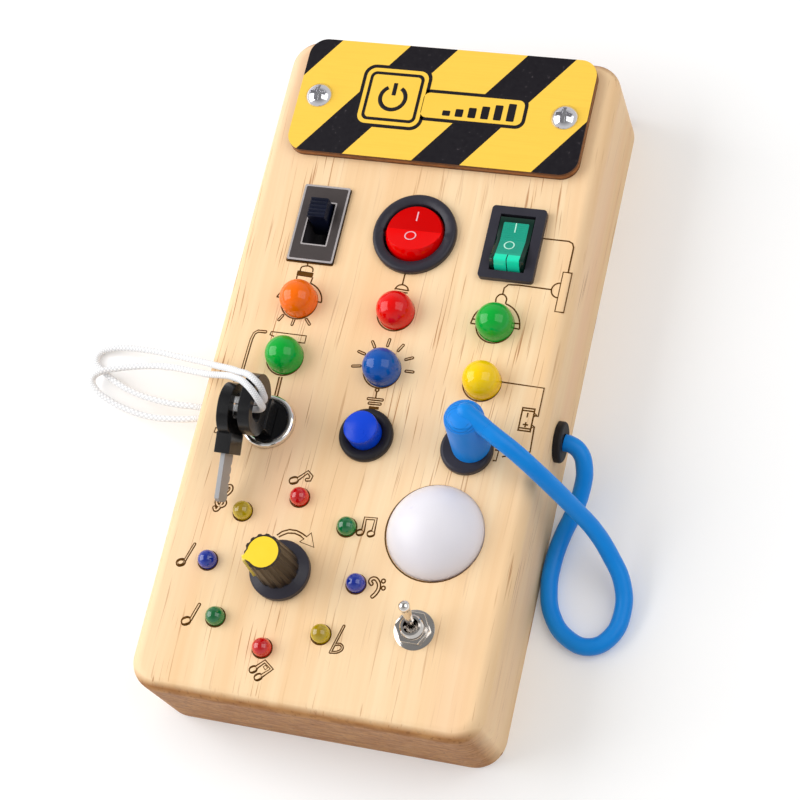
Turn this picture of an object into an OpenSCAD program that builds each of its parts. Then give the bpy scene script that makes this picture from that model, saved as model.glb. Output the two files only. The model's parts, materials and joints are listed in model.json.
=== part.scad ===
// Toddler's wooden busy board with lamps, switches, a key lock, a patch plug and a rotary knob.
// The board lies on its back: X across, Y along the board, Z up out of the control panel.

/* [Wooden body] */
// Width of the wooden body
body_w = 94.5; // [90:0.5:110]
// Length of the wooden body
body_l = 189.5; // [184:0.5:210]
// Thickness of the wooden body
body_t = 30; // [28:0.5:36]
// Radius of the four outline corners
corner_r = 8; // [5:0.5:12]
// Roundover along the front edges
edge_r = 3.5; // [2:0.25:4.5]
// Side wall left around the routed cavity
wall = 10; // [9:0.25:11]
// Thickness of the control panel in front of the cavity
face_t = 5; // [4:0.25:6]

/* [Back cover] */
// Thickness of the back cover
cover_t = 3; // [2.5:0.25:4]
// Width of the ledge that the cover sits on
ledge = 5; // [4:0.25:6]
// Clearance around the cover
cover_gap = 0.3; // [0.1:0.05:0.6]
// Shank radius of the back screws
back_screw_r = 1.3; // [1:0.1:1.6]
// Head radius of the back screws
back_head_r = 2; // [1.8:0.05:2.2]
// Shank length of the back screws
back_screw_l = 9; // [6:0.5:12]

/* [Warning plate] */
// Wood left beside the striped plate
plate_side = 6.1; // [4:0.1:9]
// Height of the striped plate
plate_l = 34.8; // [30:0.1:38]
// Thickness of the striped plate
plate_t = 3; // [2:0.25:5]
// Corner radius of the striped plate
plate_r = 5; // [2:0.5:8]
// Distance of the plate's middle to the right of the board's middle
plate_x = 0.2; // [-1:0.1:1]
// Wood left above the striped plate
plate_margin = 1.65; // [1:0.05:4]
// Distance of the plate's screws below its middle
plate_screw_drop = 0.3; // [0:0.1:2]
// Distance of the plate screws from the plate's sides
plate_screw_side = 6.15; // [5:0.05:9]
// Head radius of the plate screws
plate_head_r = 3.8; // [3:0.1:4.5]
// Height of the plate screws' heads
plate_head_h = 2.2; // [1.5:0.1:3]
// Shank radius of the plate screws
plate_screw_r = 1.5; // [1.2:0.1:2]

/* [Rows and columns] */
// Middle of the middle column
col_mid = 1; // [-1:0.1:3]
// Distance between columns, as a share of the body's width
col_share = 0.289; // [0.286:0.001:0.292]
// Height of the switch row, as a share of the body's length
switch_share = 0.1995; // [0.197:0.0005:0.202]
// Height of the upper lamp row
lamp_y1 = 15.1; // [14.5:0.1:16]
// Height of the lower lamp row
lamp_y2 = -1.3; // [-2:0.1:-0.5]
// Height of the row with the lock, the button and the jack
low_y = -20.1; // [-20.5:0.1:-19.5]

/* [Slide switch] */
// Width of the metal slide plate
slide_w = 13.1; // [12.8:0.1:15]
// Length of the metal slide plate
slide_l = 22.6; // [22:0.1:24]
// Thickness of the metal slide plate
slide_t = 1; // [0.6:0.1:1.5]
// Width of the window
window_w = 6.8; // [6:0.1:8]
// Length of the window
window_l = 12.4; // [12.2:0.1:14]
// Width of the thumb piece
thumb_w = 5; // [4:0.1:5.5]
// Length of the thumb piece
thumb_l = 5.7; // [5:0.1:5.8]
// Height of the thumb piece above the panel
thumb_h = 5; // [3:0.25:7]
// Travel of the slide
slide_travel = 6; // [4:0.25:6.2]

/* [Rocker switches] */
// Bezel radius of the round rocker
round_bezel_r = 11.5; // [11:0.1:12.5]
// Radius of the round cap
round_cap_r = 7.8; // [7:0.1:8.3]
// Bezel width of the square rocker
rect_w = 15; // [14.5:0.1:16.5]
// Bezel length of the square rocker
rect_l = 21; // [20.5:0.1:22]
// Width of the square rocker's cap
rect_cap_w = 9.2; // [8:0.1:10]
// Half of the square rocker's cap length
rect_cap_r = 7.9; // [7:0.1:8.2]
// Height of both bezels
bezel_h = 2; // [1:0.1:3]
// Tilt of a rocker cap to each side
rock_deg = 10; // [6:0.5:12]
// Depth of the rocker housings below the panel's face
rocker_depth = 15; // [13:0.5:18]

/* [Lamps] */
// Radius of the panel lamps
lamp_r = 4.95; // [4.5:0.05:5.5]
// Height of a lamp dome's centre above the panel
lamp_rise = 2.4; // [0.5:0.1:3]
// Radius of the small ring lamps
small_r = 2.45; // [2:0.05:2.8]
// Height of a small dome's centre above the panel
small_rise = 1; // [0:0.1:1.5]
// Radius of the ring of small lamps
ring_r = 20.3; // [19:0.1:21]
// Radius of the big dome lamp
dome_r = 12.8; // [12:0.1:14]
// Height of the big dome lamp
dome_h = 9; // [6:0.25:11]
// Wall of the big dome lamp
dome_wall = 1.6; // [1:0.1:2.5]
// Middle of the big dome lamp across the board
dome_x = 24.9; // [23:0.1:26]
// Middle of the big dome lamp along the board
dome_y = -43.1; // [-44:0.1:-42]

/* [Key lock] */
// Radius of the chromed flange
lock_flange_r = 7.35; // [7:0.05:8]
// Radius of the threaded barrels of lock and button
barrel_r = 6; // [5.8:0.05:6.2]
// Radius of the turning core
rotor_r = 4.5; // [4:0.05:4.8]
// Width of a key blade
blade_w = 5.9; // [4:0.1:6.5]
// Thickness of a key blade
blade_t = 1.2; // [0.8:0.1:1.5]
// Length of a key blade outside its head
blade_l = 12.5; // [10:0.25:13]
// Width of a key head
head_w = 16; // [16:0.25:18.5]
// Thickness of a key head
head_t = 3.2; // [2.5:0.1:3.4]
// Length of a key head without its neck
head_l = 13; // [13:0.25:15]
// Corner radius of a key head
head_r = 6.5; // [4:0.25:6.75]

/* [Push button] */
// Radius of the button's bezel
button_bezel_r = 7.2; // [6.8:0.1:8]
// Radius of the button's cap
cap_r = 4.5; // [4:0.05:4.8]
// Height of the button's cap above the panel
cap_h = 8; // [6:0.25:10]
// Travel of the button
button_travel = 3; // [2:0.25:3.5]

/* [Jack and plug] */
// Radius of the jack's bezel
jack_bezel_r = 6.9; // [6.5:0.1:8]
// Radius of the jack's barrel
jack_r = 5; // [4.5:0.1:5.5]
// Radius of the plug's pin
pin_r = 1.75; // [1.5:0.05:2.2]
// Radius of the plug's moulded body
plug_r = 5.2; // [4.6:0.1:5.8]
// Height of the plug above the panel
plug_h = 17.5; // [15.5:0.25:18]
// Radius of the patch cable
cable_r = 2.3; // [2:0.05:2.5]
// Flange radius of the cable grommet
grommet_r = 5.5; // [4.8:0.1:6.5]
// Place of the cable grommet along the board
grommet_y = -9.5; // [-10:0.1:-9]
// Height of both cord holes above the back
hole_z = 15; // [13:0.25:16]

/* [Knob] */
// Wood left between the cavity's side and the middle of the nearest ring lamp
ring_side = 4.25; // [4:0.05:5]
// Wood left between the cavity's end and the middle of the nearest ring lamp
ring_end = 5.05; // [4.5:0.05:6]
// Radius of the knob's flange
knob_r = 7.95; // [7.5:0.05:9]
// Radius of the knob's grip above its flange
grip_r = 5.6; // [5.4:0.05:6.6]
// Radius of the knob's top
knob_top_r = 4.8; // [4.6:0.05:6]
// Radius of the coloured disc in the knob's top
disc_r = 4.05; // [3.5:0.05:4.2]
// Turn of the pointer at rest, from straight left
pointer_turn = 17; // [-20:1:20]
// Height of the knob above the panel
knob_h = 17; // [14:0.25:20]
// Radius of the rotary shaft
shaft_r = 3; // [2.5:0.05:3.2]

/* [Toggle switch] */
// Middle of the toggle across the board
toggle_x = 25.2; // [24:0.1:26]
// Middle of the toggle along the board, as a share of the body's length
toggle_share = -0.363; // [-0.37:0.001:-0.355]
// Radius of the toggle's threaded bushing
bushing_r = 3; // [2.8:0.05:3.3]
// Radius of the washer
washer_r = 5.25; // [4.8:0.05:6.5]
// Radius of the lever's ball tip
tip_r = 1.5; // [1.2:0.05:2]
// Height of the lever's tip above the panel
lever_h = 15; // [12:0.25:18]
// Lean of the lever to each side
lever_deg = 11; // [6:0.5:13]

/* [Battery box] */
// Radius of one battery cell
cell_r = 5.2; // [5:0.05:5.25]
// Length of one battery cell
cell_l = 44.5; // [43:0.25:45]

/* [Hidden] */
$fn = 72;
cut = 1;              // overrun of a cutting shape
fit = 0.05;           // radial clearance of a part that sits or turns in a bore
loose = 0.15;         // clearance of a part dropped into an opening
top = body_t;         // height of the panel's front
under = body_t - face_t;
cavity_w = body_w - 2 * wall;
cavity_l = body_l - 2 * wall;
cavity_r = 4;
col_gap = col_share * body_w;
col_left = col_mid - col_gap;
col_right = col_mid + col_gap;
switch_y = switch_share * body_l;
knob_x = -cavity_w / 2 + ring_r + ring_side;
knob_y = -cavity_l / 2 + ring_r + ring_end;
toggle_y = toggle_share * body_l;

back_cover_w = body_w - 2 * (wall - ledge) - 2 * cover_gap;
back_cover_l = body_l - 2 * (wall - ledge) - 2 * cover_gap;
back_head_h = 1.5;
cover_r = 2.8;         // corner radius of the recess for the cover
back_screw_x = body_w / 2 - wall + ledge / 2;
back_screw_y = body_l / 2 - wall + ledge / 2;

plate_w = body_w - 2 * plate_side;
plate_y = body_l / 2 - plate_margin - plate_l / 2;
plate_screw_gap = plate_w - 2 * plate_screw_side;
plate_screw_l = plate_t + face_t;

slide_box_w = 11.6;
slide_box_l = 20.8;
slide_box_d = 9;
slide_floor = 2;
thumb_rest = slide_travel / 2;
thumb_foot_h = 3;
thumb_gap = 0.3;

round_body_r = 9.9;
round_bore_r = round_cap_r + 0.3;
rect_body_w = 13;
rect_body_l = 19;
rock_z = top - 1;      // height of both rocker hinges
rock_rise = 3;         // height of a cap's ridge above its hinge
rock_drop = 3;         // depth of a cap below its hinge
rock_pin_r = 1;
rock_pin_l = 1.1;
rocker_floor = 2;
blade_term = [0.8, 4.8, 7];

lamp_flange_r = lamp_r + 0.75;
lamp_flange_h = 1.3;
small_flange_r = small_r + 0.45;
small_flange_h = 1;
lead_r = 0.3;
board_t = 1.6;
lead_pitch = 2.54;
board_z = 17.5;        // underside of both circuit boards
board_gap = 0.3;       // least distance between a board and the cavity's walls
board_r = 2;
lead_end = board_z - 0.8;
lamp_board_side = 6.7; // reach of the lamp board past the outer lamps' middles
lamp_board_end = 8;
ring_board_r = ring_r + 3.7;
dome_spigot_r = dome_r - 1.1;
dome_board_r = dome_spigot_r + 0.8;
chip_w = 5;
chip_t = 1.6;

lock_depth = 18;
lock_floor = 2;
lock_flange_h = 2;
rotor_face_r = 5.6;
rotor_face_t = 2.8;
rotor_sink = 1.4;      // depth of the core's face plate below the panel's front
slot_depth = 14;
barrel_nut_af = 14;
nut_h = 2.5;
neck_w = 8.5;
neck_l = 5.5;
neck_t = 4.2;
blade_in = 4;          // length of a blade inside its head
blade_slack = 0.3;
bit_first = 2.6;       // first notch, from the blade's point
bit_step = 2.3;
bit_size = 0.9;
key_lift = 1.7;        // gap between the panel's front and the key's neck
bow_hole_w = 9;
bow_hole_l = 6.5;
bow_hole_at = 7;       // hole's middle from the bow's inner end
spare_x = col_left - 5.9;
spare_y = -32.7;       // end of the spare key's neck, towards its blade
spare_z = 8;           // height of that end above the panel
spare_dip = 17;        // slope of the spare key

button_box_l = 13;     // depth of the button's body that holds its switch
button_depth = button_box_l + button_travel;
button_floor = 2;
lip_r = cap_r + 0.6;
lip_h = 2.9;
lip_z = top - 4.5;     // underside of the cap's lip at rest

jack_depth = 15;
jack_h = 2.2;
jack_floor = 2;
jack_nut_af = 12.5;
pin_l = jack_depth - jack_floor - 0.2;
plug_lean = 12;        // lean of the plug's boot towards +Y
plug_shift = [1.2, 0.7];
plug_dome_h = 1.6;
pin_grip = 3;          // length of the pin inside the boot
collar_l = 5;
plug_seat = jack_h + 0.1;
grommet_lip = 2;
grommet_neck_r = 3.7;
key_hole_y = -14.8;
key_hole_r = 2.6;
cord_r = 0.9;
knot_r = 2.2;
anchor_r = 2.6;
knot_neck = 1.6;

flutes = 14;
flute_r = 0.9;
rotary_r = 8;
rotary_nut_af = 10;
rotary_bush_r = 3.9;
rotary_bush_h = 3;
knob_gap = 0.6;
knob_hollow_r = 6.05;
knob_hollow_h = 1.8;   // hollow over the nut
knob_neck_r = 4.15;    // hollow over the bushing
knob_neck_h = 2.7;
flange_rim = 1.6;      // straight rim of the flange
flange_edge = 0.5;     // chamfer above the rim
flange_h = 3.2;        // height at which the flange has run into the grip
disc_t = 1;
tip_reach = 0.7;       // reach of the pointer past the knob's top
strip_w = 1.6;         // strip down the grip from the pointer's tip
strip_t = 0.8;
strip_proud = 0.25;
shaft_rise = 12;

toggle_box = [8, 13, 9];
washer_h = 0.6;
toggle_nut_af = 8;
toggle_nut_h = 2;
toggle_bush_h = 4.5;
pivot_rise = 1.5;
pivot_r = 1.9;
pivot_fit = 0.07;
pivot_pin_r = 0.5;     // cross pin of the lever's ball
pivot_pin_l = 4.8;
lever_r = 0.95;

tray_wall = 1.5;
contact_room = 8;      // room for both contacts beside a cell
contact_side = 8;
contact_t = 0.4;
contact_coil_r = 2.6;
contact_wire_r = 0.35;
tray_in_w = cell_l + contact_room;
tray_in_l = 4 * cell_r + 2.2;
tray_z0 = cover_t - 1;
tray_top = 16;
tray_rim_t = 1.5;
boss_r = 2.8;
boss_h = 9;
boss_x = -13;
boss_y = -tray_in_l / 2 - 6;
hatch_edge = 3.2;      // reach of the door past the tray's opening
hatch_w = tray_in_w + 2 * hatch_edge;
hatch_y0 = boss_y - 3.8;
hatch_y1 = tray_in_l / 2 + hatch_edge;
hatch_t = 2;
rim_reach = 1.2;       // reach of the tray's rim past the door
tray_y = cavity_l / 2 - hatch_y1 - rim_reach - 1.6;
cell_z = tray_top - tray_wall - cell_r - 0.35;
cell_y = cell_r + 0.3;

grommet_at = [body_w / 2, grommet_y, hole_z];
key_hole_at = [-body_w / 2, key_hole_y, hole_z];
jack_at = [col_right, low_y, top];
lock_at = [col_left, low_y, top];
// Middle of the patch cable: out of the grommet, down, round a loop on the table and up to the plug.
// The first list starts from the grommet, the second from the jack.
cable_route_side = [
    [-11.25, 0, 0], [-3.25, 0, 0], [2.75, 0, 0], [6.15, -1.5, -1.1], [7.75, -4.9, -3.3],
    [7.65, -9.5, -6.2], [6.15, -15.5, -9.1], [3.95, -22.1, -11.1], [2.75, -29.1, -12.3],
    [3.05, -36.3, -12.6], [5.35, -43.1, -12.6], [10.35, -48.3, -12.6], [16.55, -49.7, -12.6],
    [21.35, -46.3, -12.5], [23.35, -39.5, -11.9], [22.35, -32.7, -9.7]
];
cable_route_top = [
    [37.49, -16.1, -20.4], [33.29, -11.7, -14.8], [28.99, -9.1, -8.5], [24.69, -6.9, -1.5],
    [20.29, -4.8, 5], [14.89, -2.1, 10.4], [10.29, 0.1, 13], [7.29, 1.7, 13.9]
];
cable_route = concat(
    [for (p = cable_route_side) p + grommet_at],
    [for (p = cable_route_top) p + jack_at]);
// Middles of the key cord's two strands, from the knot inside the board to the knot at the keys.
// The first list of each starts from the hole in the side, the second from the lock.
cord_route_a_side = [
    [11.25, 1.2, 0], [-0.75, 1.2, 0], [-6.75, 1.6, -0.8], [-14.75, 2.6, -4.2], [-22.75, 4.3, -7.8],
    [-30.75, 6.6, -10.8], [-37.75, 9.5, -12.8], [-43.35, 12.8, -13.8], [-46.15, 15.4, -13.9],
    [-45.55, 18, -13.8], [-41.75, 19.6, -13], [-35.75, 19.6, -10.8], [-29.75, 18.6, -7.8],
    [-22.75, 16.8, -3.2]
];
cord_route_a_top = [
    [-35.7, 19.4, -12.2], [-27.7, 16.4, -4.8], [-20, 12.9, 4], [-15.6, 10.9, 8.6], [-11.6, 9.2, 12.7],
    [-7.7, 7.9, 15.7], [-4.1, 6.4, 18.6], [-1, 5.3, 20.7], [1.5, 3.9, 21.8], [3.3, 2.5, 21.2],
    [3.9, 1.3, 19.2], [3.8, 0.7, 17], [2.6, 0.6, 15], [0.3, 0.6, 14], [-3.7, 0.6, 13.4],
    [-6.9, 0.6, 12.6], [-9.1, 0.6, 11], [-10.2, 0.6, 9], [-10.2, 0.6, 7.4]
];
cord_route_a = concat(
    [for (p = cord_route_a_side) p + key_hole_at],
    [for (p = cord_route_a_top) p + lock_at]);
cord_route_b_side = [
    [11.25, -1.2, 0], [-0.75, -1.2, 0], [-6.75, -1.9, -1], [-14.75, -1.8, -4.2],
    [-22.75, -0.9, -7.6], [-30.75, 1, -10.1], [-37.75, 3.5, -11.8], [-43.15, 6.5, -12.2],
    [-44.85, 9.2, -11.8], [-42.75, 11.4, -11.1], [-37.35, 12.8, -10.1], [-30.75, 13.2, -7.4],
    [-23.75, 12.6, -3.4]
];
cord_route_b_top = [
    [-36.7, 16.1, -12.4], [-29.1, 13.5, -5.6], [-21.6, 10.5, 2.2], [-16.6, 8.6, 7.4],
    [-12.2, 7.6, 10.8], [-7.9, 6.1, 15.3], [-4.7, 4.6, 18.5], [-1.9, 3.3, 21], [0.3, 1.9, 21.9],
    [2.1, 0.5, 21.8], [3.4, -0.8, 20.6], [3.9, -1.5, 18.6], [3.7, -1.6, 16.6], [2.5, -1.6, 14.9],
    [0.3, -1.6, 14], [-3.7, -1.6, 13.4], [-6.9, -1.6, 12.6], [-9.1, -1.6, 11], [-10.2, -1.6, 9],
    [-10.2, -1.6, 7.4]
];
cord_route_b = concat(
    [for (p = cord_route_b_side) p + key_hole_at],
    [for (p = cord_route_b_top) p + lock_at]);
// Middles of the two battery wires, from the tray's contacts to the lamp board.
wire_r = 0.6;
wire_end_x = -tray_in_w / 2 - tray_wall - 1.25;
wire_side = -cavity_w / 2;
wire_routes = [
    [[wire_end_x, tray_y - 5.5, 9], [wire_side + 4.2, tray_y - 7.5, 9], [wire_side + 2.8, tray_y - 14, 10],
        [wire_side + 2.8, 44, 12], [wire_side + 2.8, 34, 13.5], [wire_side + 4.2, 25, 15],
        [wire_side + 6.2, 20, 16.6]],
    [[wire_end_x, tray_y + 5.5, 9], [wire_side + 3.8, tray_y + 2.5, 9], [wire_side + 1.3, tray_y - 5.5, 10],
        [wire_side + 1.3, 50, 12], [wire_side + 1.3, 36, 13.5], [wire_side + 2.2, 22, 15],
        [wire_side + 6.2, 16, 16.6]]
];

// ---------- shared shapes ----------

// Flat rounded rectangle, centred
module rounded_rect(w, l, r) {
    square([w - 2 * r, l], center = true);
    square([w, l - 2 * r], center = true);
    for (x = [-1, 1], y = [-1, 1])
        translate([x * (w / 2 - r), y * (l / 2 - r)]) circle(r);
}

// Outline of the cavity, less a gap all round
module cavity_outline(gap) {
    rounded_rect(cavity_w - 2 * gap, cavity_l - 2 * gap, cavity_r - gap);
}

// Ring profile with a rounded outer top edge, for rotate_extrude
module bezel_profile(inner, outer, h, r) {
    translate([inner, 0]) square([outer - inner, h - r]);
    translate([inner, 0]) square([outer - r - inner, h]);
    translate([outer - r, h - r]) circle(r);
}

module bezel(inner, outer, h, r) {
    rotate_extrude() bezel_profile(inner, outer, h, r);
}

module pipe(outer, inner, h) {
    difference() {
        cylinder(r = outer, h = h);
        translate([0, 0, -cut]) cylinder(r = inner, h = h + 2 * cut);
    }
}

module hex_nut(af, h, bore) {
    difference() {
        cylinder(r = af / 2 / cos(30), h = h, $fn = 6);
        translate([0, 0, -cut]) cylinder(r = bore, h = h + 2 * cut);
    }
}

// Domed top of radius r and height h, on z = 0
module dome_cap(r, h) {
    ball = (r * r + h * h) / (2 * h);
    intersection() {
        translate([0, 0, h - ball]) sphere(ball);
        cylinder(r = r + cut, h = h + cut);
    }
}

// Cross recess, cut downwards from z = 0
module cross_recess(size, depth) {
    for (a = [0, 90])
        rotate([0, 0, a]) translate([-size / 2, -size / 8, -depth]) cube([size, size / 4, depth + cut]);
}

function unit(v) = v / norm(v);
function heading(p, i) =
    i == 0 ? unit(p[1] - p[0])
    : i == len(p) - 1 ? unit(p[i] - p[i - 1])
    : unit(unit(p[i + 1] - p[i]) + unit(p[i] - p[i - 1]));
function across(n, t) = unit(n - (n * t) * t);
function normals(p, i, n) =
    i == len(p) ? [] : let (m = across(n, heading(p, i))) concat([m], normals(p, i + 1, m));
function ring_at(p, t, n, r, k) =
    [for (j = [0:k - 1]) p + r * (cos(360 * j / k) * n + sin(360 * j / k) * cross(t, n))];

// Round tube along a list of points
module tube(p, r, k, n0) {
    n = normals(p, 0, n0);
    last = len(p) - 1;
    points = [for (i = [0:last]) each ring_at(p[i], heading(p, i), n[i], r, k)];
    sides = [
        for (i = [0:last - 1], j = [0:k - 1])
            [i * k + j, (i + 1) * k + j, (i + 1) * k + (j + 1) % k, i * k + (j + 1) % k]
    ];
    near_end = [for (j = [0:k - 1]) j];
    far_end = [for (j = [k - 1:-1:0]) last * k + j];
    polyhedron(points, concat([near_end], sides, [far_end]), convexity = 6);
}

// Coil spring standing on z = 0
module coil(r, wire, turns, h) {
    steps = 10 * turns;
    rise = (h - 2 * wire) / steps;
    path = [for (i = [0:steps]) [r * cos(36 * i), r * sin(36 * i), wire + i * rise]];
    tube(path, wire, 6, [0, 0, 1]);
}

// ---------- wooden body and back ----------

module edge_profile() {
    square([corner_r - edge_r, edge_r]);
    intersection() {
        translate([corner_r - edge_r, 0]) circle(edge_r);
        translate([corner_r - edge_r, 0]) square(edge_r);
    }
}

// One straight stretch of the rounded front edge, along X
module edge_strip(run) {
    rotate([90, 0, 90]) linear_extrude(run, center = true)
        intersection() {
            circle(edge_r);
            square(edge_r);
        }
}

module rounded_block() {
    low = body_t - edge_r;
    in_w = body_w - 2 * corner_r;
    in_l = body_l - 2 * corner_r;
    linear_extrude(low) rounded_rect(body_w, body_l, corner_r);
    translate([0, 0, low]) linear_extrude(edge_r) {
        square([in_w, body_l - 2 * edge_r], center = true);
        square([body_w - 2 * edge_r, in_l], center = true);
    }
    for (a = [0, 180]) rotate([0, 0, a]) translate([0, body_l / 2 - edge_r, low]) edge_strip(in_w);
    for (a = [90, 270]) rotate([0, 0, a]) translate([0, body_w / 2 - edge_r, low]) edge_strip(in_l);
    for (x = [0, 1], y = [0, 1])
        mirror([x, 0, 0]) mirror([0, y, 0])
            translate([in_w / 2, in_l / 2, low]) rotate_extrude(angle = 90) edge_profile();
}

module at(x, y, z = 0) {
    translate([x, y, z]) children();
}

module lamp_places() {
    for (p = [[col_left, lamp_y1], [col_mid, lamp_y1], [col_right, lamp_y1],
              [col_left, lamp_y2], [col_mid, lamp_y2], [col_right, lamp_y2]])
        at(p.x, p.y) children();
}

// Places of ring lamps, counted counter-clockwise from the one on the right
module ring_places(list) {
    for (i = list)
        at(knob_x + ring_r * cos(45 * i), knob_y + ring_r * sin(45 * i)) children();
}

module back_screw_places() {
    for (x = [-1, 1], y = [-1, 0, 1]) at(x * back_screw_x, y * back_screw_y) children();
}

module plate_screw_places() {
    for (x = [-1, 1]) at(x * plate_screw_gap / 2, plate_y - plate_screw_drop) children();
}

module panel_hole(x, y, r) {
    at(x, y, under - cut) cylinder(r = r, h = face_t + 2 * cut);
}

module panel_slot(x, y, w, l) {
    at(x, y, under - cut) linear_extrude(face_t + 2 * cut) square([w, l], center = true);
}

module wooden_body() {
    color("burlywood") difference() {
        rounded_block();
        translate([0, 0, -cut]) linear_extrude(under + cut) cavity_outline(0);
        translate([0, 0, -cut]) linear_extrude(cover_t + cut)
            rounded_rect(back_cover_w + 2 * cover_gap, back_cover_l + 2 * cover_gap, cover_r);
        back_screw_places() translate([0, 0, cover_t - cut])
            cylinder(r = back_screw_r + fit, h = back_screw_l + cut);
        plate_screw_places() translate([0, 0, under - cut])
            cylinder(r = plate_screw_r + fit, h = face_t + 2 * cut);
        panel_slot(col_left, switch_y, slide_box_w + 2 * loose, slide_box_l + 2 * loose);
        panel_hole(col_mid, switch_y, round_body_r + loose);
        panel_slot(col_right, switch_y, rect_body_w + 2 * loose, rect_body_l + 2 * loose);
        lamp_places() translate([0, 0, under - cut]) cylinder(r = lamp_r + fit, h = face_t + 2 * cut);
        ring_places([0:7]) translate([0, 0, under - cut])
            cylinder(r = small_r + fit, h = face_t + 2 * cut);
        panel_hole(col_left, low_y, barrel_r + fit);
        panel_hole(col_mid, low_y, barrel_r + fit);
        panel_hole(col_right, low_y, jack_r + fit);
        panel_hole(dome_x, dome_y, dome_spigot_r + fit);
        panel_hole(knob_x, knob_y, rotary_bush_r + fit);
        panel_hole(toggle_x, toggle_y, bushing_r + fit);
        at(body_w / 2 - wall - cut, grommet_y, hole_z) rotate([0, 90, 0])
            cylinder(r = grommet_neck_r + fit, h = wall + 2 * cut);
        at(-body_w / 2 - cut, key_hole_y, hole_z) rotate([0, 90, 0])
            cylinder(r = key_hole_r, h = wall + 2 * cut);
    }
}

module back_cover() {
    color("tan") difference() {
        linear_extrude(cover_t) rounded_rect(back_cover_w, back_cover_l, cover_r - cover_gap);
        at(0, tray_y, -cut) linear_extrude(cover_t + 2 * cut) hatch_outline(cover_gap);
        back_screw_places() {
            translate([0, 0, -cut]) cylinder(r = back_screw_r + fit, h = cover_t + 2 * cut);
            translate([0, 0, -cut]) cylinder(r = back_head_r + fit, h = back_head_h + cut);
        }
    }
}

// Small cross-head screw driven upwards, its head on the side of -Z
module back_screw(l) {
    difference() {
        union() {
            translate([0, 0, 0.1]) cylinder(r = back_head_r, h = back_head_h - 0.1);
            translate([0, 0, back_head_h]) cylinder(r = back_screw_r, h = l);
        }
        translate([0, 0, 0.1]) mirror([0, 0, 1]) cross_recess(1.3 * back_head_r, 0.8);
    }
}

module back_screws() {
    color("silver") {
        back_screw_places() back_screw(back_screw_l);
        at(boss_x, tray_y + boss_y) back_screw(back_screw_l - hatch_t);
    }
}

// ---------- warning plate ----------

module hazard_plate() {
    color("gold") difference() {
        at(plate_x, plate_y, top) linear_extrude(plate_t) rounded_rect(plate_w, plate_l, plate_r);
        plate_screw_places() translate([0, 0, top - cut])
            cylinder(r = plate_screw_r + fit, h = plate_t + 2 * cut);
    }
}

module plate_screws() {
    color("silver") plate_screw_places() translate([0, 0, top + plate_t]) difference() {
        union() {
            dome_cap(plate_head_r, plate_head_h);
            translate([0, 0, -plate_screw_l]) cylinder(r = plate_screw_r, h = plate_screw_l);
        }
        translate([0, 0, plate_head_h - 0.3]) cross_recess(1.2 * plate_head_r, 0.9);
    }
}

// ---------- slide switch ----------

module slide_plate() {
    color("dimgray") at(col_left, switch_y, top) linear_extrude(slide_t) difference() {
        rounded_rect(slide_w, slide_l, 0.5);
        square([window_w, window_l], center = true);
    }
}

module slide_housing() {
    color("black") at(col_left, switch_y) difference() {
        translate([0, 0, top - slide_box_d]) linear_extrude(slide_box_d)
            square([slide_box_w, slide_box_l], center = true);
        translate([0, 0, top - slide_box_d + slide_floor]) linear_extrude(slide_box_d)
            square([window_w, window_l], center = true);
    }
}

module slide_thumb() {
    foot_z = top - slide_box_d + slide_floor + thumb_gap;
    stem_h = top + thumb_h - foot_z;
    rib_gap = thumb_l / 5;
    color("midnightblue") at(col_left, switch_y + thumb_rest, foot_z) difference() {
        union() {
            linear_extrude(thumb_foot_h) square([window_w - 2 * thumb_gap, thumb_l], center = true);
            linear_extrude(stem_h) square([thumb_w, thumb_l], center = true);
        }
        for (i = [-2:2]) at(0, i * rib_gap, stem_h) rotate([45, 0, 0])
            cube([thumb_w + cut, 0.6, 0.6], center = true);
    }
}

// ---------- rocker switches ----------

// Side view of a rocker cap: flat underneath, with two slopes that rise from the middle ridge
module rocker_side(reach) {
    rise = rock_rise + reach * tan(rock_deg);
    polygon([[-reach, -rock_drop], [reach, -rock_drop], [reach, rise], [0, rock_rise], [-reach, rise]]);
}

module rocker_block(w, reach) {
    rotate([90, 0, 90]) linear_extrude(w, center = true) rocker_side(reach);
}

module rock_pins(w, r) {
    rotate([0, 90, 0]) cylinder(r = r, h = w, center = true);
}

module round_rocker_housing() {
    depth = rocker_depth;
    color("black") at(col_mid, switch_y) difference() {
        union() {
            translate([0, 0, top]) bezel(round_bore_r, round_bezel_r, bezel_h, 1);
            translate([0, 0, top - depth]) cylinder(r = round_body_r, h = depth);
        }
        translate([0, 0, top - depth + rocker_floor]) cylinder(r = round_bore_r, h = depth);
        translate([0, 0, rock_z]) rock_pins(2 * (round_cap_r + rock_pin_l + 0.1), rock_pin_r + fit);
    }
}

module round_rocker_cap() {
    color("red") at(col_mid, switch_y, rock_z) rotate([-rock_deg, 0, 0]) {
        intersection() {
            sphere(round_cap_r);
            rocker_block(2 * round_cap_r, round_cap_r);
        }
        rock_pins(2 * (round_cap_r + rock_pin_l), rock_pin_r);
    }
}

module rect_rocker_housing() {
    depth = rocker_depth;
    open_w = rect_cap_w + 0.4;
    open_l = 2 * rect_cap_r + 0.5;
    color("black") at(col_right, switch_y) difference() {
        union() {
            translate([0, 0, top]) linear_extrude(bezel_h) rounded_rect(rect_w, rect_l, 1);
            translate([0, 0, top - depth]) linear_extrude(depth)
                square([rect_body_w, rect_body_l], center = true);
        }
        translate([0, 0, top - depth + rocker_floor]) linear_extrude(depth + bezel_h)
            square([open_w, open_l], center = true);
        translate([0, 0, rock_z]) rock_pins(rect_cap_w + 2 * (rock_pin_l + 0.1), rock_pin_r + fit);
    }
}

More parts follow.
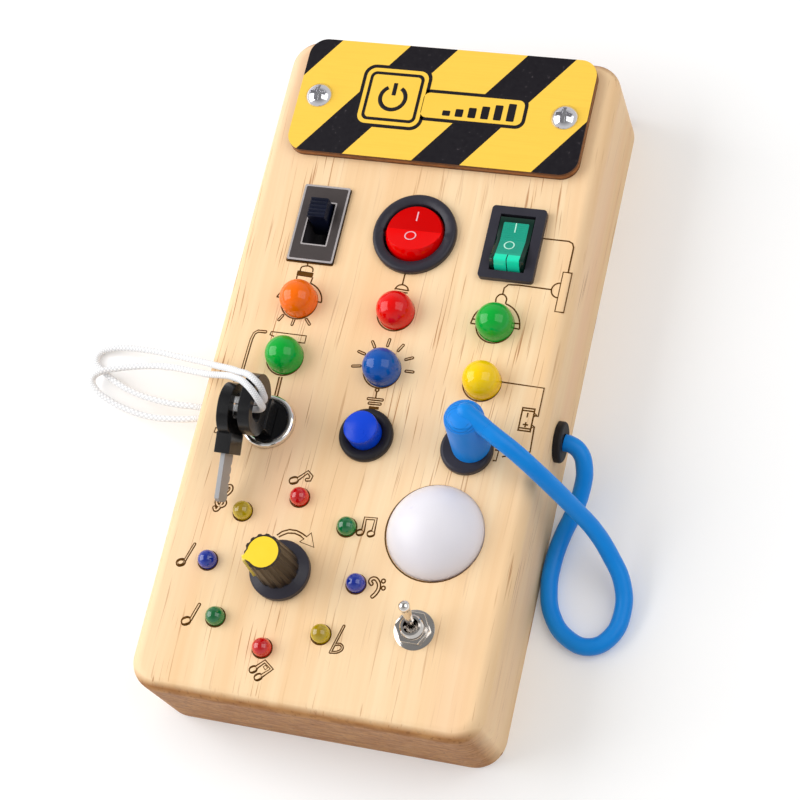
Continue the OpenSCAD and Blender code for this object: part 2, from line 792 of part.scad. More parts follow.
module rect_rocker_cap() {
    color("green") at(col_right, switch_y, rock_z) rotate([-rock_deg, 0, 0]) {
        intersection() {
            rotate([0, 90, 0]) cylinder(r = rect_cap_r, h = rect_cap_w, center = true);
            rocker_block(rect_cap_w, rect_cap_r);
        }
        rock_pins(rect_cap_w + 2 * rock_pin_l, rock_pin_r);
    }
}

// Two solder blades under a switch, spread along Y
module blade_pair(x, y, z, spread, tall) {
    for (s = [-1, 1])
        at(x, y + s * spread / 2, z - tall) linear_extrude(tall)
            square([blade_term.x, blade_term.y / 2], center = true);
}

module switch_terminals() {
    color("silver") {
        blade_pair(col_left, switch_y, top - slide_box_d, 8, blade_term.z);
        blade_pair(col_mid, switch_y, top - rocker_depth, 10, blade_term.z);
        blade_pair(col_right, switch_y, top - rocker_depth, 10, blade_term.z);
        blade_pair(col_left, low_y, top - lock_depth, 5, blade_term.z);
        blade_pair(col_mid, low_y, top - button_depth, 5, blade_term.z);
        blade_pair(col_right, low_y, top - jack_depth, 5, blade_term.z);
        blade_pair(toggle_x, toggle_y, under - toggle_box.z, 6, blade_term.z);
    }
}

// ---------- lamps ----------

module led(r, rise, flange_r, flange_h, lead_gap) {
    translate([0, 0, under - flange_h]) cylinder(r = flange_r, h = flange_h);
    translate([0, 0, under - flange_h]) cylinder(r = r, h = face_t + rise + flange_h);
    translate([0, 0, top + rise]) sphere(r);
    for (s = [-1, 1])
        translate([s * lead_gap / 2, 0, lead_end]) cylinder(r = lead_r, h = under - lead_end);
}

module big_led() {
    led(lamp_r, lamp_rise, lamp_flange_r, lamp_flange_h, lead_pitch);
}

module small_led() {
    led(small_r, small_rise, small_flange_r, small_flange_h, lead_pitch);
}

module lamp_orange() {
    color("darkorange") at(col_left, lamp_y1) big_led();
}

module lamp_red() {
    color("red") at(col_mid, lamp_y1) big_led();
}

module lamps_green() {
    color("green") {
        at(col_right, lamp_y1) big_led();
        at(col_left, lamp_y2) big_led();
    }
}

module lamp_blue() {
    color("royalblue") at(col_mid, lamp_y2) big_led();
}

module lamp_yellow() {
    color("yellow") at(col_right, lamp_y2) big_led();
}

module lead_holes() {
    for (s = [-1, 1]) translate([s * lead_pitch / 2, 0, board_z - cut])
        cylinder(r = lead_r + 0.15, h = board_t + 2 * cut);
}

module lamp_board() {
    wide = 2 * (col_gap + lamp_board_side);
    tall = lamp_y1 - lamp_y2 + 2 * lamp_board_end;
    color("darkgreen") difference() {
        translate([0, 0, board_z]) linear_extrude(board_t) intersection() {
            at(col_mid, (lamp_y1 + lamp_y2) / 2) rounded_rect(wide, tall, board_r);
            cavity_outline(board_gap);
        }
        lamp_places() lead_holes();
    }
}

module ring_leds_blue() {
    color("royalblue") ring_places([0, 4]) small_led();
}

module ring_leds_green() {
    color("green") ring_places([1, 5]) small_led();
}

module ring_leds_red() {
    color("red") ring_places([2, 6]) small_led();
}

module ring_leds_yellow() {
    color("gold") ring_places([3, 7]) small_led();
}

module ring_board() {
    color("darkgreen") difference() {
        translate([0, 0, board_z]) linear_extrude(board_t) intersection() {
            at(knob_x, knob_y) circle(ring_board_r);
            cavity_outline(board_gap);
        }
        ring_places([0:7]) lead_holes();
    }
}

module dome_lens() {
    inner = dome_spigot_r - dome_wall;
    color("white") at(dome_x, dome_y) difference() {
        union() {
            translate([0, 0, top]) dome_cap(dome_r, dome_h);
            translate([0, 0, under]) cylinder(r = dome_spigot_r, h = face_t + cut);
        }
        translate([0, 0, under - cut]) cylinder(r = inner, h = face_t + 2 * cut);
        translate([0, 0, top]) dome_cap(inner, dome_h - dome_wall);
    }
}

module dome_board() {
    color("ivory") {
        translate([0, 0, under - board_t]) linear_extrude(board_t) intersection() {
            at(dome_x, dome_y) circle(dome_board_r);
            cavity_outline(board_gap / 2);
        }
        at(dome_x, dome_y, under - cut) linear_extrude(chip_t + cut) square(chip_w, center = true);
    }
}

// ---------- key lock and keys ----------

module lock_barrel() {
    color("silver") at(col_left, low_y) difference() {
        union() {
            translate([0, 0, top]) bezel(rotor_face_r + fit, lock_flange_r, lock_flange_h, 1);
            translate([0, 0, top - lock_depth]) cylinder(r = barrel_r, h = lock_depth);
        }
        translate([0, 0, top - rotor_sink - fit])
            cylinder(r = rotor_face_r + fit, h = rotor_sink + lock_flange_h + cut);
        translate([0, 0, top - lock_depth + lock_floor]) cylinder(r = rotor_r + fit, h = lock_depth);
    }
}

module lock_rotor() {
    face_top = top - rotor_sink + rotor_face_t;
    foot = top - lock_depth + lock_floor + 0.1;
    color("black") at(col_left, low_y) difference() {
        union() {
            translate([0, 0, top - rotor_sink]) cylinder(r = rotor_face_r, h = rotor_face_t);
            translate([0, 0, foot]) cylinder(r = rotor_r, h = top - rotor_sink - foot);
        }
        translate([0, 0, face_top - slot_depth]) linear_extrude(slot_depth + cut)
            square([blade_t + blade_slack, blade_w + blade_slack], center = true);
    }
}

module panel_nuts() {
    color("silver") {
        for (x = [col_left, col_mid])
            at(x, low_y, under - nut_h) hex_nut(barrel_nut_af, nut_h, barrel_r + fit);
        at(col_right, low_y, under - nut_h) hex_nut(jack_nut_af, nut_h, jack_r + fit);
    }
}

// A key stands on z = 0 at the end of its neck, with its blade below and its bow above
module one_blade() {
    translate([0, 0, -blade_l]) difference() {
        linear_extrude(blade_l + blade_in) square([blade_t, blade_w], center = true);
        for (y = [-1, 1]) translate([0, y * blade_w / 2, -cut]) rotate([y * 35, 0, 0])
            cube([blade_t + cut, 2, 3], center = true);
        for (i = [0:3]) translate([0, blade_w / 2, bit_first + bit_step * i])
            rotate([45, 0, 0]) cube([blade_t + cut, bit_size, bit_size], center = true);
    }
}

module one_head() {
    difference() {
        union() {
            translate([-neck_t / 2, -neck_w / 2, 0]) cube([neck_t, neck_w, neck_l]);
            translate([0, 0, neck_l - cut + head_l / 2 + cut / 2]) rotate([90, 0, 90])
                linear_extrude(head_t, center = true) rounded_rect(head_w, head_l + cut, head_r);
        }
        translate([0, 0, neck_l + bow_hole_at]) rotate([90, 0, 90])
            linear_extrude(head_t + 2 * cut, center = true) rounded_rect(bow_hole_w, bow_hole_l, 2);
        translate([0, 0, -cut]) linear_extrude(blade_in + cut + fit)
            square([blade_t + 2 * fit, blade_w + 2 * fit], center = true);
    }
}

module in_lock() {
    at(col_left, low_y, top + key_lift) children();
}

module on_cord() {
    at(spare_x, spare_y, top + spare_z) rotate([-90 + spare_dip, 0, 0]) children();
}

module key_blade() {
    color("silver") in_lock() one_blade();
}

module key_head() {
    color("black") in_lock() one_head();
}

module spare_key_blade() {
    color("silver") on_cord() one_blade();
}

module spare_key_head() {
    color("black") on_cord() one_head();
}

module key_cord_a() {
    color("white") tube(cord_route_a, cord_r, 8, [0, 0, 1]);
}

module key_cord_b() {
    color("white") tube(cord_route_b, cord_r, 8, [0, 0, 1]);
}

// Knot that joins the strands, hanging beside the spare key
module key_cord_knot() {
    end_a = cord_route_a[len(cord_route_a) - 1];
    end_b = cord_route_b[len(cord_route_b) - 1];
    middle = (end_a + end_b) / 2;
    color("white") translate(middle) rotate([180, 0, 0]) {
        linear_extrude(knot_neck) rounded_rect(2 * cord_r + 0.1, 4 * cord_r + 0.4, 1);
        translate([0, 0, knot_r]) sphere(knot_r);
    }
}

// Knot inside the board that holds the cord
module cord_anchor_knot() {
    middle = (cord_route_a[0] + cord_route_b[0]) / 2;
    color("white") translate(middle) rotate([0, 90, 0]) {
        linear_extrude(knot_neck) rounded_rect(2 * cord_r + 0.1, 4 * cord_r + 0.4, 1);
        translate([0, 0, anchor_r]) sphere(anchor_r);
    }
}

// ---------- push button ----------

module button_body() {
    color("black") at(col_mid, low_y) difference() {
        union() {
            translate([0, 0, top]) bezel(cap_r + 2 * fit, button_bezel_r, bezel_h, 1);
            translate([0, 0, top - button_depth]) cylinder(r = barrel_r, h = button_depth);
        }
        translate([0, 0, top - button_depth + button_floor]) cylinder(r = cap_r + 2 * fit, h = button_depth);
        translate([0, 0, top - button_depth + button_floor])
            cylinder(r = lip_r + 2 * fit, h = lip_z + lip_h + 0.1 - (top - button_depth + button_floor));
    }
}

module button_cap() {
    color("royalblue") at(col_mid, low_y) {
        translate([0, 0, lip_z]) cylinder(r = lip_r, h = lip_h);
        translate([0, 0, lip_z]) cylinder(r = cap_r, h = top + cap_h - 1 - lip_z);
        translate([0, 0, top + cap_h - 1]) dome_cap(cap_r, 1);
    }
}

module button_spring() {
    foot = top - button_depth + button_floor;
    color("silver") at(col_mid, low_y, foot) coil(3.4, 0.35, 5, lip_z - foot);
}

// ---------- jack, plug and cable ----------

module jack_body() {
    color("black") at(col_right, low_y) difference() {
        union() {
            translate([0, 0, top]) bezel(pin_r + 2 * fit, jack_bezel_r, jack_h, 1);
            translate([0, 0, top - jack_depth]) cylinder(r = jack_r, h = jack_depth);
        }
        translate([0, 0, top - jack_depth + jack_floor]) cylinder(r = pin_r + 2 * fit, h = jack_depth);
    }
}

// Moulded elbow: a leaning round boot with a domed top and a short collar for the cable
module plug_body() {
    cable_end = cable_route[len(cable_route) - 1];
    cable_dir = cable_end - cable_route[len(cable_route) - 2];
    side = -atan2(cable_dir.x, cable_dir.y);
    color("dodgerblue") difference() {
        union() {
            at(col_right, low_y, top) intersection() {
                translate(plug_shift) rotate([-plug_lean, 0, 0]) translate([0, 0, -cut]) union() {
                    cylinder(r = plug_r, h = plug_h - plug_dome_h + cut);
                    translate([0, 0, plug_h - plug_dome_h + cut]) dome_cap(plug_r, plug_dome_h);
                }
                translate([-2 * plug_r, -2 * plug_r, plug_seat]) cube([4 * plug_r, 4 * plug_r, plug_h]);
            }
            translate(cable_end) rotate([0, 0, side]) rotate([-90 + plug_droop(cable_dir), 0, 0])
                cylinder(r = cable_r + 0.2, h = collar_l);
        }
        at(col_right, low_y, top + plug_seat - cut) cylinder(r = pin_r + fit, h = pin_grip + cut);
    }
}

function plug_droop(v) = atan2(v.z, norm([v.x, v.y]));

module plug_pin() {
    color("silver") at(col_right, low_y, top - pin_l) {
        translate([0, 0, pin_r]) cylinder(r = pin_r, h = pin_l - pin_r + plug_seat + pin_grip - 0.1);
        translate([0, 0, pin_r]) sphere(pin_r);
    }
}

module blue_cable() {
    color("dodgerblue") tube(cable_route, cable_r, 12, [0, 0, 1]);
}

module cable_grommet() {
    color("black") at(body_w / 2, grommet_y, hole_z) rotate([0, 90, 0]) difference() {
        union() {
            bezel(cable_r + fit, grommet_r, grommet_lip, 0.7);
            translate([0, 0, -wall - 1]) cylinder(r = grommet_neck_r, h = wall + 1.5);
        }
        translate([0, 0, -wall - 2]) cylinder(r = cable_r + fit, h = wall + 5);
    }
}

// ---------- knob ----------

module knob_body() {
    tall = knob_h - knob_gap;
    taper = atan((grip_r - knob_top_r) / (tall - flange_h));
    color("black") at(knob_x, knob_y, top + knob_gap) rotate([0, 0, pointer_turn]) difference() {
        union() {
            cylinder(r = knob_r, h = flange_rim);
            translate([0, 0, flange_rim]) cylinder(r1 = knob_r, r2 = knob_r - flange_edge, h = flange_edge);
            translate([0, 0, flange_rim + flange_edge])
                cylinder(r1 = knob_r - flange_edge, r2 = grip_r, h = flange_h - flange_rim - flange_edge);
            translate([0, 0, flange_h]) cylinder(r1 = grip_r, r2 = knob_top_r, h = tall - flange_h);
        }
        for (i = [0:flutes - 1]) rotate([0, 0, 360 * i / flutes])
            translate([grip_r + flute_r - 0.35, 0, flange_h]) rotate([0, -taper, 0])
                cylinder(r = flute_r, h = tall);
        translate([0, 0, tall - disc_t]) cylinder(r = disc_r + fit, h = disc_t + cut);
        pointer_tip(tall, disc_t + cut);
        pointer_strip(tall, taper);
        translate([0, 0, -cut]) cylinder(r = knob_hollow_r, h = knob_hollow_h + cut);
        translate([0, 0, -cut]) cylinder(r = knob_neck_r, h = knob_neck_h + cut);
        translate([0, 0, -cut]) cylinder(r = shaft_r + fit, h = shaft_rise + 1 + cut);
    }
}

// Tip of the pointer: it runs from the disc's sides to a point past the knob's top, along -X unturned
module pointer_tip(tall, h) {
    reach = knob_top_r + tip_reach;
    side = acos(disc_r / reach);
    inside = disc_r * 0.93;
    translate([0, 0, tall - disc_t]) linear_extrude(h)
        polygon([[-reach, 0], [-inside * cos(side), -inside * sin(side)], [0, 0],
            [-inside * cos(side), inside * sin(side)]]);
}

// Strip in the grip's side, from under the tip down to the flange
module pointer_strip(tall, taper) {
    translate([-grip_r, 0, flange_h]) rotate([0, taper, 0]) translate([-strip_proud, -strip_w / 2, 0])
        cube([strip_proud + strip_t, strip_w, (tall - flange_h - disc_t + fit) / cos(taper)]);
}

// Coloured disc with its tip and strip
module knob_pointer() {
    tall = knob_h - knob_gap;
    taper = atan((grip_r - knob_top_r) / (tall - flange_h));
    color("yellow") at(knob_x, knob_y, top + knob_gap) rotate([0, 0, pointer_turn]) {
        translate([0, 0, tall - disc_t]) cylinder(r = disc_r, h = disc_t);
        pointer_tip(tall, disc_t);
        pointer_strip(tall, taper);
    }
}

module rotary_switch() {
    foot = board_z + board_t;
    color("dimgray") at(knob_x, knob_y) difference() {
        union() {
            translate([0, 0, foot]) cylinder(r = rotary_r, h = under - foot);
            translate([0, 0, under]) cylinder(r = rotary_bush_r, h = face_t + rotary_bush_h);
        }
        translate([0, 0, foot + 1]) cylinder(r = shaft_r + fit, h = under);
    }
}

module rotary_shaft() {
    foot = board_z + board_t + 1.1;
    color("silver") at(knob_x, knob_y, foot)
        cylinder(r = shaft_r, h = top + knob_gap + shaft_rise - foot);
}

module rotary_nut() {
    color("silver") at(knob_x, knob_y, top) hex_nut(rotary_nut_af, 2, rotary_bush_r + fit);
}

// ---------- toggle switch ----------

module toggle_body() {
    color("firebrick") at(toggle_x, toggle_y, under - toggle_box.z) difference() {
        linear_extrude(toggle_box.z) square([toggle_box.x, toggle_box.y], center = true);
        translate([0, 0, toggle_box.z - 3]) cylinder(r = bushing_r + fit, h = 3 + cut);
    }
}

module toggle_bushing() {
    foot = under - 3 + fit;
    color("silver") at(toggle_x, toggle_y) difference() {
        translate([0, 0, foot]) cylinder(r = bushing_r, h = top + toggle_bush_h - foot);
        translate([0, 0, foot + 1]) cylinder(r = pivot_r + pivot_fit, h = face_t + 2 * toggle_bush_h);
        translate([0, 0, top + pivot_rise]) rock_pins(pivot_pin_l + 0.2, pivot_pin_r + fit);
    }
}

module toggle_lever() {
    pivot_z = top + pivot_rise;
    long = lever_h - pivot_rise - tip_r;
    color("silver") at(toggle_x, toggle_y, pivot_z) rotate([-lever_deg, 0, 0]) {
        sphere(pivot_r);
        rock_pins(pivot_pin_l, pivot_pin_r);
        translate([0, 0, -4]) cylinder(r = 0.7, h = 4);
        cylinder(r1 = lever_r, r2 = tip_r * 0.85, h = long);
        translate([0, 0, long]) sphere(tip_r);
    }
}

module toggle_nut() {
    color("silver") at(toggle_x, toggle_y, top + washer_h)
        hex_nut(toggle_nut_af, toggle_nut_h, bushing_r + fit);
}

module toggle_washer() {
    color("silver") at(toggle_x, toggle_y, top) pipe(washer_r, bushing_r + fit, washer_h);
}

// ---------- battery box ----------

module hatch_outline(gap) {
    translate([-hatch_w / 2 - gap, hatch_y0 - gap])
        square([hatch_w + 2 * gap, hatch_y1 - hatch_y0 + 2 * gap]);
}

module battery_tray() {
    color("black") at(0, tray_y) difference() {
        union() {
            translate([0, 0, tray_z0]) linear_extrude(tray_top - tray_z0)
                square([tray_in_w + 2 * tray_wall, tray_in_l + 2 * tray_wall], center = true);
            translate([0, 0, cover_t]) linear_extrude(tray_rim_t) hatch_outline(rim_reach);
            at(boss_x, boss_y, tray_z0) cylinder(r = boss_r, h = boss_h);
        }
        translate([0, 0, tray_z0 - cut]) linear_extrude(tray_top - tray_wall - tray_z0 + cut)
            square([tray_in_w, tray_in_l], center = true);
        at(boss_x, boss_y, tray_z0 - cut) cylinder(r = back_screw_r + fit, h = boss_h - 1 + cut);
    }
}

module battery_door() {
    color("black") at(0, tray_y) difference() {
        linear_extrude(hatch_t) hatch_outline(0);
        at(boss_x, boss_y, -cut) cylinder(r = back_screw_r + fit, h = hatch_t + 2 * cut);
        at(boss_x, boss_y, -cut) cylinder(r = back_head_r + fit, h = back_head_h + cut);
    }
}

module battery_cells() {
    color("gray") for (s = [-1, 1])
        at(0, tray_y + s * cell_y, cell_z) rotate([0, s * 90, 0]) {
            cylinder(r = cell_r, h = cell_l - 1, center = true);
            translate([0, 0, cell_l / 2 - 0.5]) cylinder(r = 1.9, h = 1);
        }
}

module contact_leaf() {
    linear_extrude(contact_t) square([contact_side, contact_side], center = true);
}

module battery_contacts() {
    reach = tray_in_w / 2;
    button_end = cell_l / 2 + 0.55;
    coil_room = reach - contact_t - cell_l / 2 + 0.4;
    color("silver") for (s = [-1, 1]) at(0, tray_y + s * cell_y, cell_z) rotate([0, s * 90, 0]) {
        translate([0, 0, reach - contact_t]) contact_leaf();
        translate([0, 0, button_end]) cylinder(r = 2, h = reach - contact_t - button_end);
        translate([0, 0, -reach]) contact_leaf();
        translate([0, 0, -reach + contact_t]) coil(contact_coil_r, contact_wire_r, 4, coil_room);
    }
}

module battery_wires() {
    for (i = [0, 1]) color(i == 0 ? "red" : "black") tube(wire_routes[i], wire_r, 6, [0, 0, 1]);
}

wooden_body();
back_cover();
back_screws();
hazard_plate();
plate_screws();
slide_plate();
slide_housing();
slide_thumb();
round_rocker_housing();
round_rocker_cap();
rect_rocker_housing();
rect_rocker_cap();
switch_terminals();
lamp_orange();
lamp_red();
lamps_green();
lamp_blue();
lamp_yellow();
lamp_board();
ring_leds_blue();
ring_leds_green();
ring_leds_red();
ring_leds_yellow();
ring_board();
dome_lens();
dome_board();
lock_barrel();
lock_rotor();
panel_nuts();
key_blade();
key_head();
spare_key_blade();
spare_key_head();
key_cord_a();
key_cord_b();
key_cord_knot();
cord_anchor_knot();
button_body();
button_cap();
button_spring();
jack_body();
plug_body();
plug_pin();
blue_cable();
cable_grommet();
knob_body();
knob_pointer();
rotary_switch();
rotary_shaft();
rotary_nut();
toggle_body();
toggle_bushing();
toggle_lever();
toggle_nut();
toggle_washer();
battery_tray();
battery_door();
battery_cells();
battery_contacts();
battery_wires();
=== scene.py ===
"""Wooden busy board: lamps, switches, keys, patch cable and knob on a pine panel. Lengths are in mm."""
import bpy
import json
import math
from mathutils import Matrix, Vector
from mathutils.geometry import interpolate_bezier


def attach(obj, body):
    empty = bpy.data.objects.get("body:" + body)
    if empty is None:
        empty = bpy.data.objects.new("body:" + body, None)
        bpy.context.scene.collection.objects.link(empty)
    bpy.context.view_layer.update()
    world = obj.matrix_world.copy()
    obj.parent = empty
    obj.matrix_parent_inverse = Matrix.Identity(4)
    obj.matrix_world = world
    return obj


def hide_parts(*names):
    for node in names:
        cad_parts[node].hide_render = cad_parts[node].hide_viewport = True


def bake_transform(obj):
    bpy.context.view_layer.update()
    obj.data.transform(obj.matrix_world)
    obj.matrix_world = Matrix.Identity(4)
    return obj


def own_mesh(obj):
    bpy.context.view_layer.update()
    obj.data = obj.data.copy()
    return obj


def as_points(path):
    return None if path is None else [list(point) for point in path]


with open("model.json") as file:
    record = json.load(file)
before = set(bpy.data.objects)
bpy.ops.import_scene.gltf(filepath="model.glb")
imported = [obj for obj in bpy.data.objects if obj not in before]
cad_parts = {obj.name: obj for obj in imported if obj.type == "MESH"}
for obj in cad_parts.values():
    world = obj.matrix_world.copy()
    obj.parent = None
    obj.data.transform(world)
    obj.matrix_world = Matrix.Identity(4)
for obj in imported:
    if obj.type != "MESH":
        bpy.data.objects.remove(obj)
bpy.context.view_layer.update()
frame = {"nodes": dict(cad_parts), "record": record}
bpy.ops.object.select_all(action="DESELECT")

# ---------- places shared by several pieces, in mm ----------

TOP = 30.0
COL_LEFT, COL_MID, COL_RIGHT = -26.31, 1.0, 28.31
SWITCH_Y = 37.805
LOW_Y = -20.1
LAMPS = {"orange": (COL_LEFT, 15.1), "red": (COL_MID, 15.1), "green": (COL_RIGHT, 15.1),
         "green_low": (COL_LEFT, -1.3), "blue": (COL_MID, -1.3), "yellow": (COL_RIGHT, -1.3)}
LAMP_R, SMALL_R = 4.95, 2.45
KNOB = (-12.7, -59.4)
RING_R = 20.3
DOME = (24.9, -43.1)
DOME_R = 12.8
TOGGLE = (25.2, -68.79)

# Routes from the hole in the wall to the plug, and to the knot at the keys
CABLE = [(49.25, -9.5, 15), (50.6, -9.6, 14.9), (53.4, -11, 13.9), (55, -14.4, 11.7), (54.9, -19, 8.8),
         (53.4, -25, 5.9), (51.2, -31.6, 3.9), (50, -38.6, 2.7), (50.3, -45.8, 2.4), (52.6, -52.6, 2.4),
         (57.6, -57.8, 2.4), (63.8, -59.2, 2.4), (68.6, -55.8, 2.5), (70.6, -49, 3.1), (69.6, -42.2, 5.3),
         (65.8, -36.2, 9.6), (61.6, -31.8, 15.2), (57.3, -29.2, 21.5), (53, -27, 28.5), (48.6, -24.9, 35),
         (43.2, -22.2, 40.4), (38.6, -20, 43), (35.6, -18.4, 43.9)]
CORD_A = [(-47.25, -13.6, 15), (-50.6, -13.5, 14.8), (-54, -13.2, 14.2), (-62, -12.2, 10.8),
          (-70, -10.5, 7.2), (-78, -8.2, 4.2), (-85, -5.3, 2.2), (-90.6, -2, 1.2), (-93.4, 0.6, 1.1),
          (-92.8, 3.2, 1.2), (-89, 4.8, 2), (-83, 4.8, 4.2), (-77, 3.8, 7.2), (-70, 2, 11.8),
          (-62, -0.7, 17.8), (-54, -3.7, 25.2), (-46.3, -7.2, 34), (-41.9, -9.2, 38.6), (-37.9, -10.9, 42.7),
          (-34, -12.2, 45.7), (-30.4, -13.7, 48.6), (-27.3, -14.8, 50.7), (-24.8, -16.2, 51.8),
          (-23, -17.6, 51.2), (-22.4, -18.8, 49.2), (-22.5, -19.4, 47), (-23.7, -19.5, 45),
          (-26, -19.5, 44), (-30, -19.5, 43.4), (-33.2, -19.5, 42.6), (-35.4, -19.5, 41),
          (-36.5, -19.5, 39), (-36.5, -19.5, 37.4)]
CORD_B = [(-47.25, -16, 15), (-50.6, -16.2, 14.7), (-54, -16.7, 14), (-62, -16.6, 10.8), (-70, -15.7, 7.4),
          (-78, -13.8, 4.9), (-85, -11.3, 3.2), (-90.4, -8.3, 2.8), (-92.1, -5.6, 3.2), (-90, -3.4, 3.9),
          (-84.6, -2, 4.9), (-78, -1.6, 7.6), (-71, -2.2, 11.6), (-63, -4, 17.6), (-55.4, -6.6, 24.4),
          (-47.9, -9.6, 32.2), (-42.9, -11.5, 37.4), (-38.5, -12.5, 40.8), (-34.2, -14, 45.3),
          (-31, -15.5, 48.5), (-28.2, -16.8, 51), (-26, -18.2, 51.9), (-24.2, -19.6, 51.8),
          (-22.9, -20.9, 50.6), (-22.4, -21.6, 48.6), (-22.6, -21.7, 46.6), (-23.8, -21.7, 44.9),
          (-26, -21.7, 44), (-30, -21.7, 43.4), (-33.2, -21.7, 42.6), (-35.4, -21.7, 41),
          (-36.5, -21.7, 39), (-36.5, -21.7, 37.4)]


# ---------- small helpers ----------

def mm(*place):
    """A place or size in mm, as a vector in metres."""
    return Vector(place) * 0.001


BODY_OF = {node: body for body, nodes in frame["record"]["behaviour"]["bodies"].items() for node in nodes}
# Points closer than this, in metres, are one point, and slivers thinner than the second value go
MERGE, SLIVER = 0.000002, 0.000004
# Angles in degrees: faces flatter than the first are one face, an edge is rounded above the second,
# and shaded sharp above the third
FLAT, ROUNDED, SHARP = 0.6, 32, 38


def select_only(piece):
    bpy.ops.object.select_all(action="DESELECT")
    piece.select_set(True)
    bpy.context.view_layer.objects.active = piece


def edit(piece):
    select_only(piece)
    bpy.ops.object.mode_set(mode="EDIT")
    bpy.ops.mesh.select_all(action="SELECT")


def leave_edit():
    bpy.ops.object.mode_set(mode="OBJECT")


def apply_place(piece):
    select_only(piece)
    bpy.ops.object.transform_apply(location=True, rotation=True, scale=True)


def modify(piece, kind, **settings):
    """Adds a modifier and applies it."""
    select_only(piece)
    modifier = piece.modifiers.new(kind.lower(), kind)
    for name, value in settings.items():
        setattr(modifier, name, value)
    bpy.ops.object.modifier_apply(modifier=modifier.name)


def flatten(piece, angle=FLAT):
    """Joins the faces of a piece that lie in one plane."""
    edit(piece)
    bpy.ops.mesh.dissolve_limited(angle_limit=math.radians(angle))
    leave_edit()


def soften(piece, width, steps=2):
    """Rounds the edges of a piece by width mm, and shades it smooth."""
    if width:
        modify(piece, "BEVEL", width=width * 0.001, segments=steps, limit_method="ANGLE",
               angle_limit=math.radians(ROUNDED), use_clamp_overlap=True)
    select_only(piece)
    bpy.ops.object.shade_smooth_by_angle(angle=math.radians(SHARP))
    modify(piece, "WEIGHTED_NORMAL", keep_sharp=True, weight=100)


def paint_piece(piece, *materials):
    piece.data.materials.clear()
    for material in materials:
        piece.data.materials.append(material)


def finish_piece(piece, name, body, slot=None, stands_for=()):
    """Names a piece and joins it to the body that it rides on."""
    piece.name = name
    piece.data.name = name
    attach(piece, body)
    if stands_for:
        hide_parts(*stands_for)
    return piece


def show(piece, material, name, body, **roles):
    """Paints a piece all over and names it."""
    paint_piece(piece, material)
    return finish_piece(piece, name, body, **roles)


def merged_copy(node):
    """A copy of a CAD node with its loose triangles merged into faces."""
    piece = bpy.data.objects.new(node + "_skin", frame["nodes"][node].data.copy())
    bpy.context.collection.objects.link(piece)
    edit(piece)
    bpy.ops.mesh.remove_doubles(threshold=MERGE)
    bpy.ops.mesh.dissolve_degenerate(threshold=SLIVER)
    leave_edit()
    return piece


def dressed(node, material, edge=0.15, steps=2):
    """A merged copy of a CAD node with its edges rounded by edge mm, in the node's place."""
    piece = merged_copy(node)
    paint_piece(piece, material)
    if edge:
        flatten(piece)
    soften(piece, edge, steps)
    return finish_piece(piece, node + "_skin", BODY_OF[node], stands_for=(node,))


def dress_all(*rows):
    for row in rows:
        dressed(*row)


def turned(profile, steps=72):
    """A piece turned about the Z axis: profile is its (radius, height) points in mm."""
    bpy.ops.mesh.primitive_plane_add(size=0.001)
    piece = bpy.context.object
    edit(piece)
    bpy.ops.mesh.merge(type="CENTER")
    bpy.ops.transform.translate(value=mm(profile[0][0], 0, profile[0][1]))
    for near, far in zip(profile, profile[1:]):
        step = mm(far[0] - near[0], 0, far[1] - near[1])
        bpy.ops.mesh.extrude_region_move(TRANSFORM_OT_translate={"value": step})
    bpy.ops.mesh.select_all(action="SELECT")
    bpy.ops.mesh.spin(steps=steps, angle=2 * math.pi, center=(0, 0, 0), axis=(0, 0, 1))
    bpy.ops.mesh.select_all(action="SELECT")
    bpy.ops.mesh.remove_doubles(threshold=MERGE)
    bpy.ops.mesh.normals_make_consistent(inside=False)
    leave_edit()
    return piece


def put(piece, place):
    """Moves a piece by a matrix and applies it."""
    piece.matrix_world = place @ piece.matrix_world
    apply_place(piece)
    return piece


def join(pieces):
    bpy.ops.object.select_all(action="DESELECT")
    for piece in pieces:
        piece.select_set(True)
    bpy.context.view_layer.objects.active = pieces[0]
    if len(pieces) > 1:
        bpy.ops.object.join()
    return bpy.context.view_layer.objects.active


def new_curve(name, **settings):
    """An empty curve."""
    data = bpy.data.curves.new(name, "CURVE")
    for setting, value in settings.items():
        setattr(data, setting, value)
    piece = bpy.data.objects.new(name, data)
    bpy.context.collection.objects.link(piece)
    return piece


def flat_curve(name, place, **settings):
    """An empty flat curve and the function that turns it into a mesh at its place."""
    piece = new_curve(name, **settings)

    def finish(flat=1):
        select_only(piece)
        bpy.ops.object.convert(target="MESH")
        meshed = bpy.context.object
        meshed.scale = (1, 1, flat)
        apply_place(meshed)
        return put(meshed, place)
    return piece.data, finish


def capped(points, width):
    """Line points with their widths, the ends run out round."""
    knots = [(point, width) for point in points]
    for at, inward in ((0, 1), (-1, -2)):
        end = Vector(points[at])
        out = (end - Vector(points[inward])).normalized() * width / 2
        steps = [(tuple(end + out * reach), width * size)
                 for reach, size in ((0.4, 0.92), (0.75, 0.66), (0.95, 0.3))]
        knots = steps[::-1] + knots if at == 0 else knots + steps
    return knots


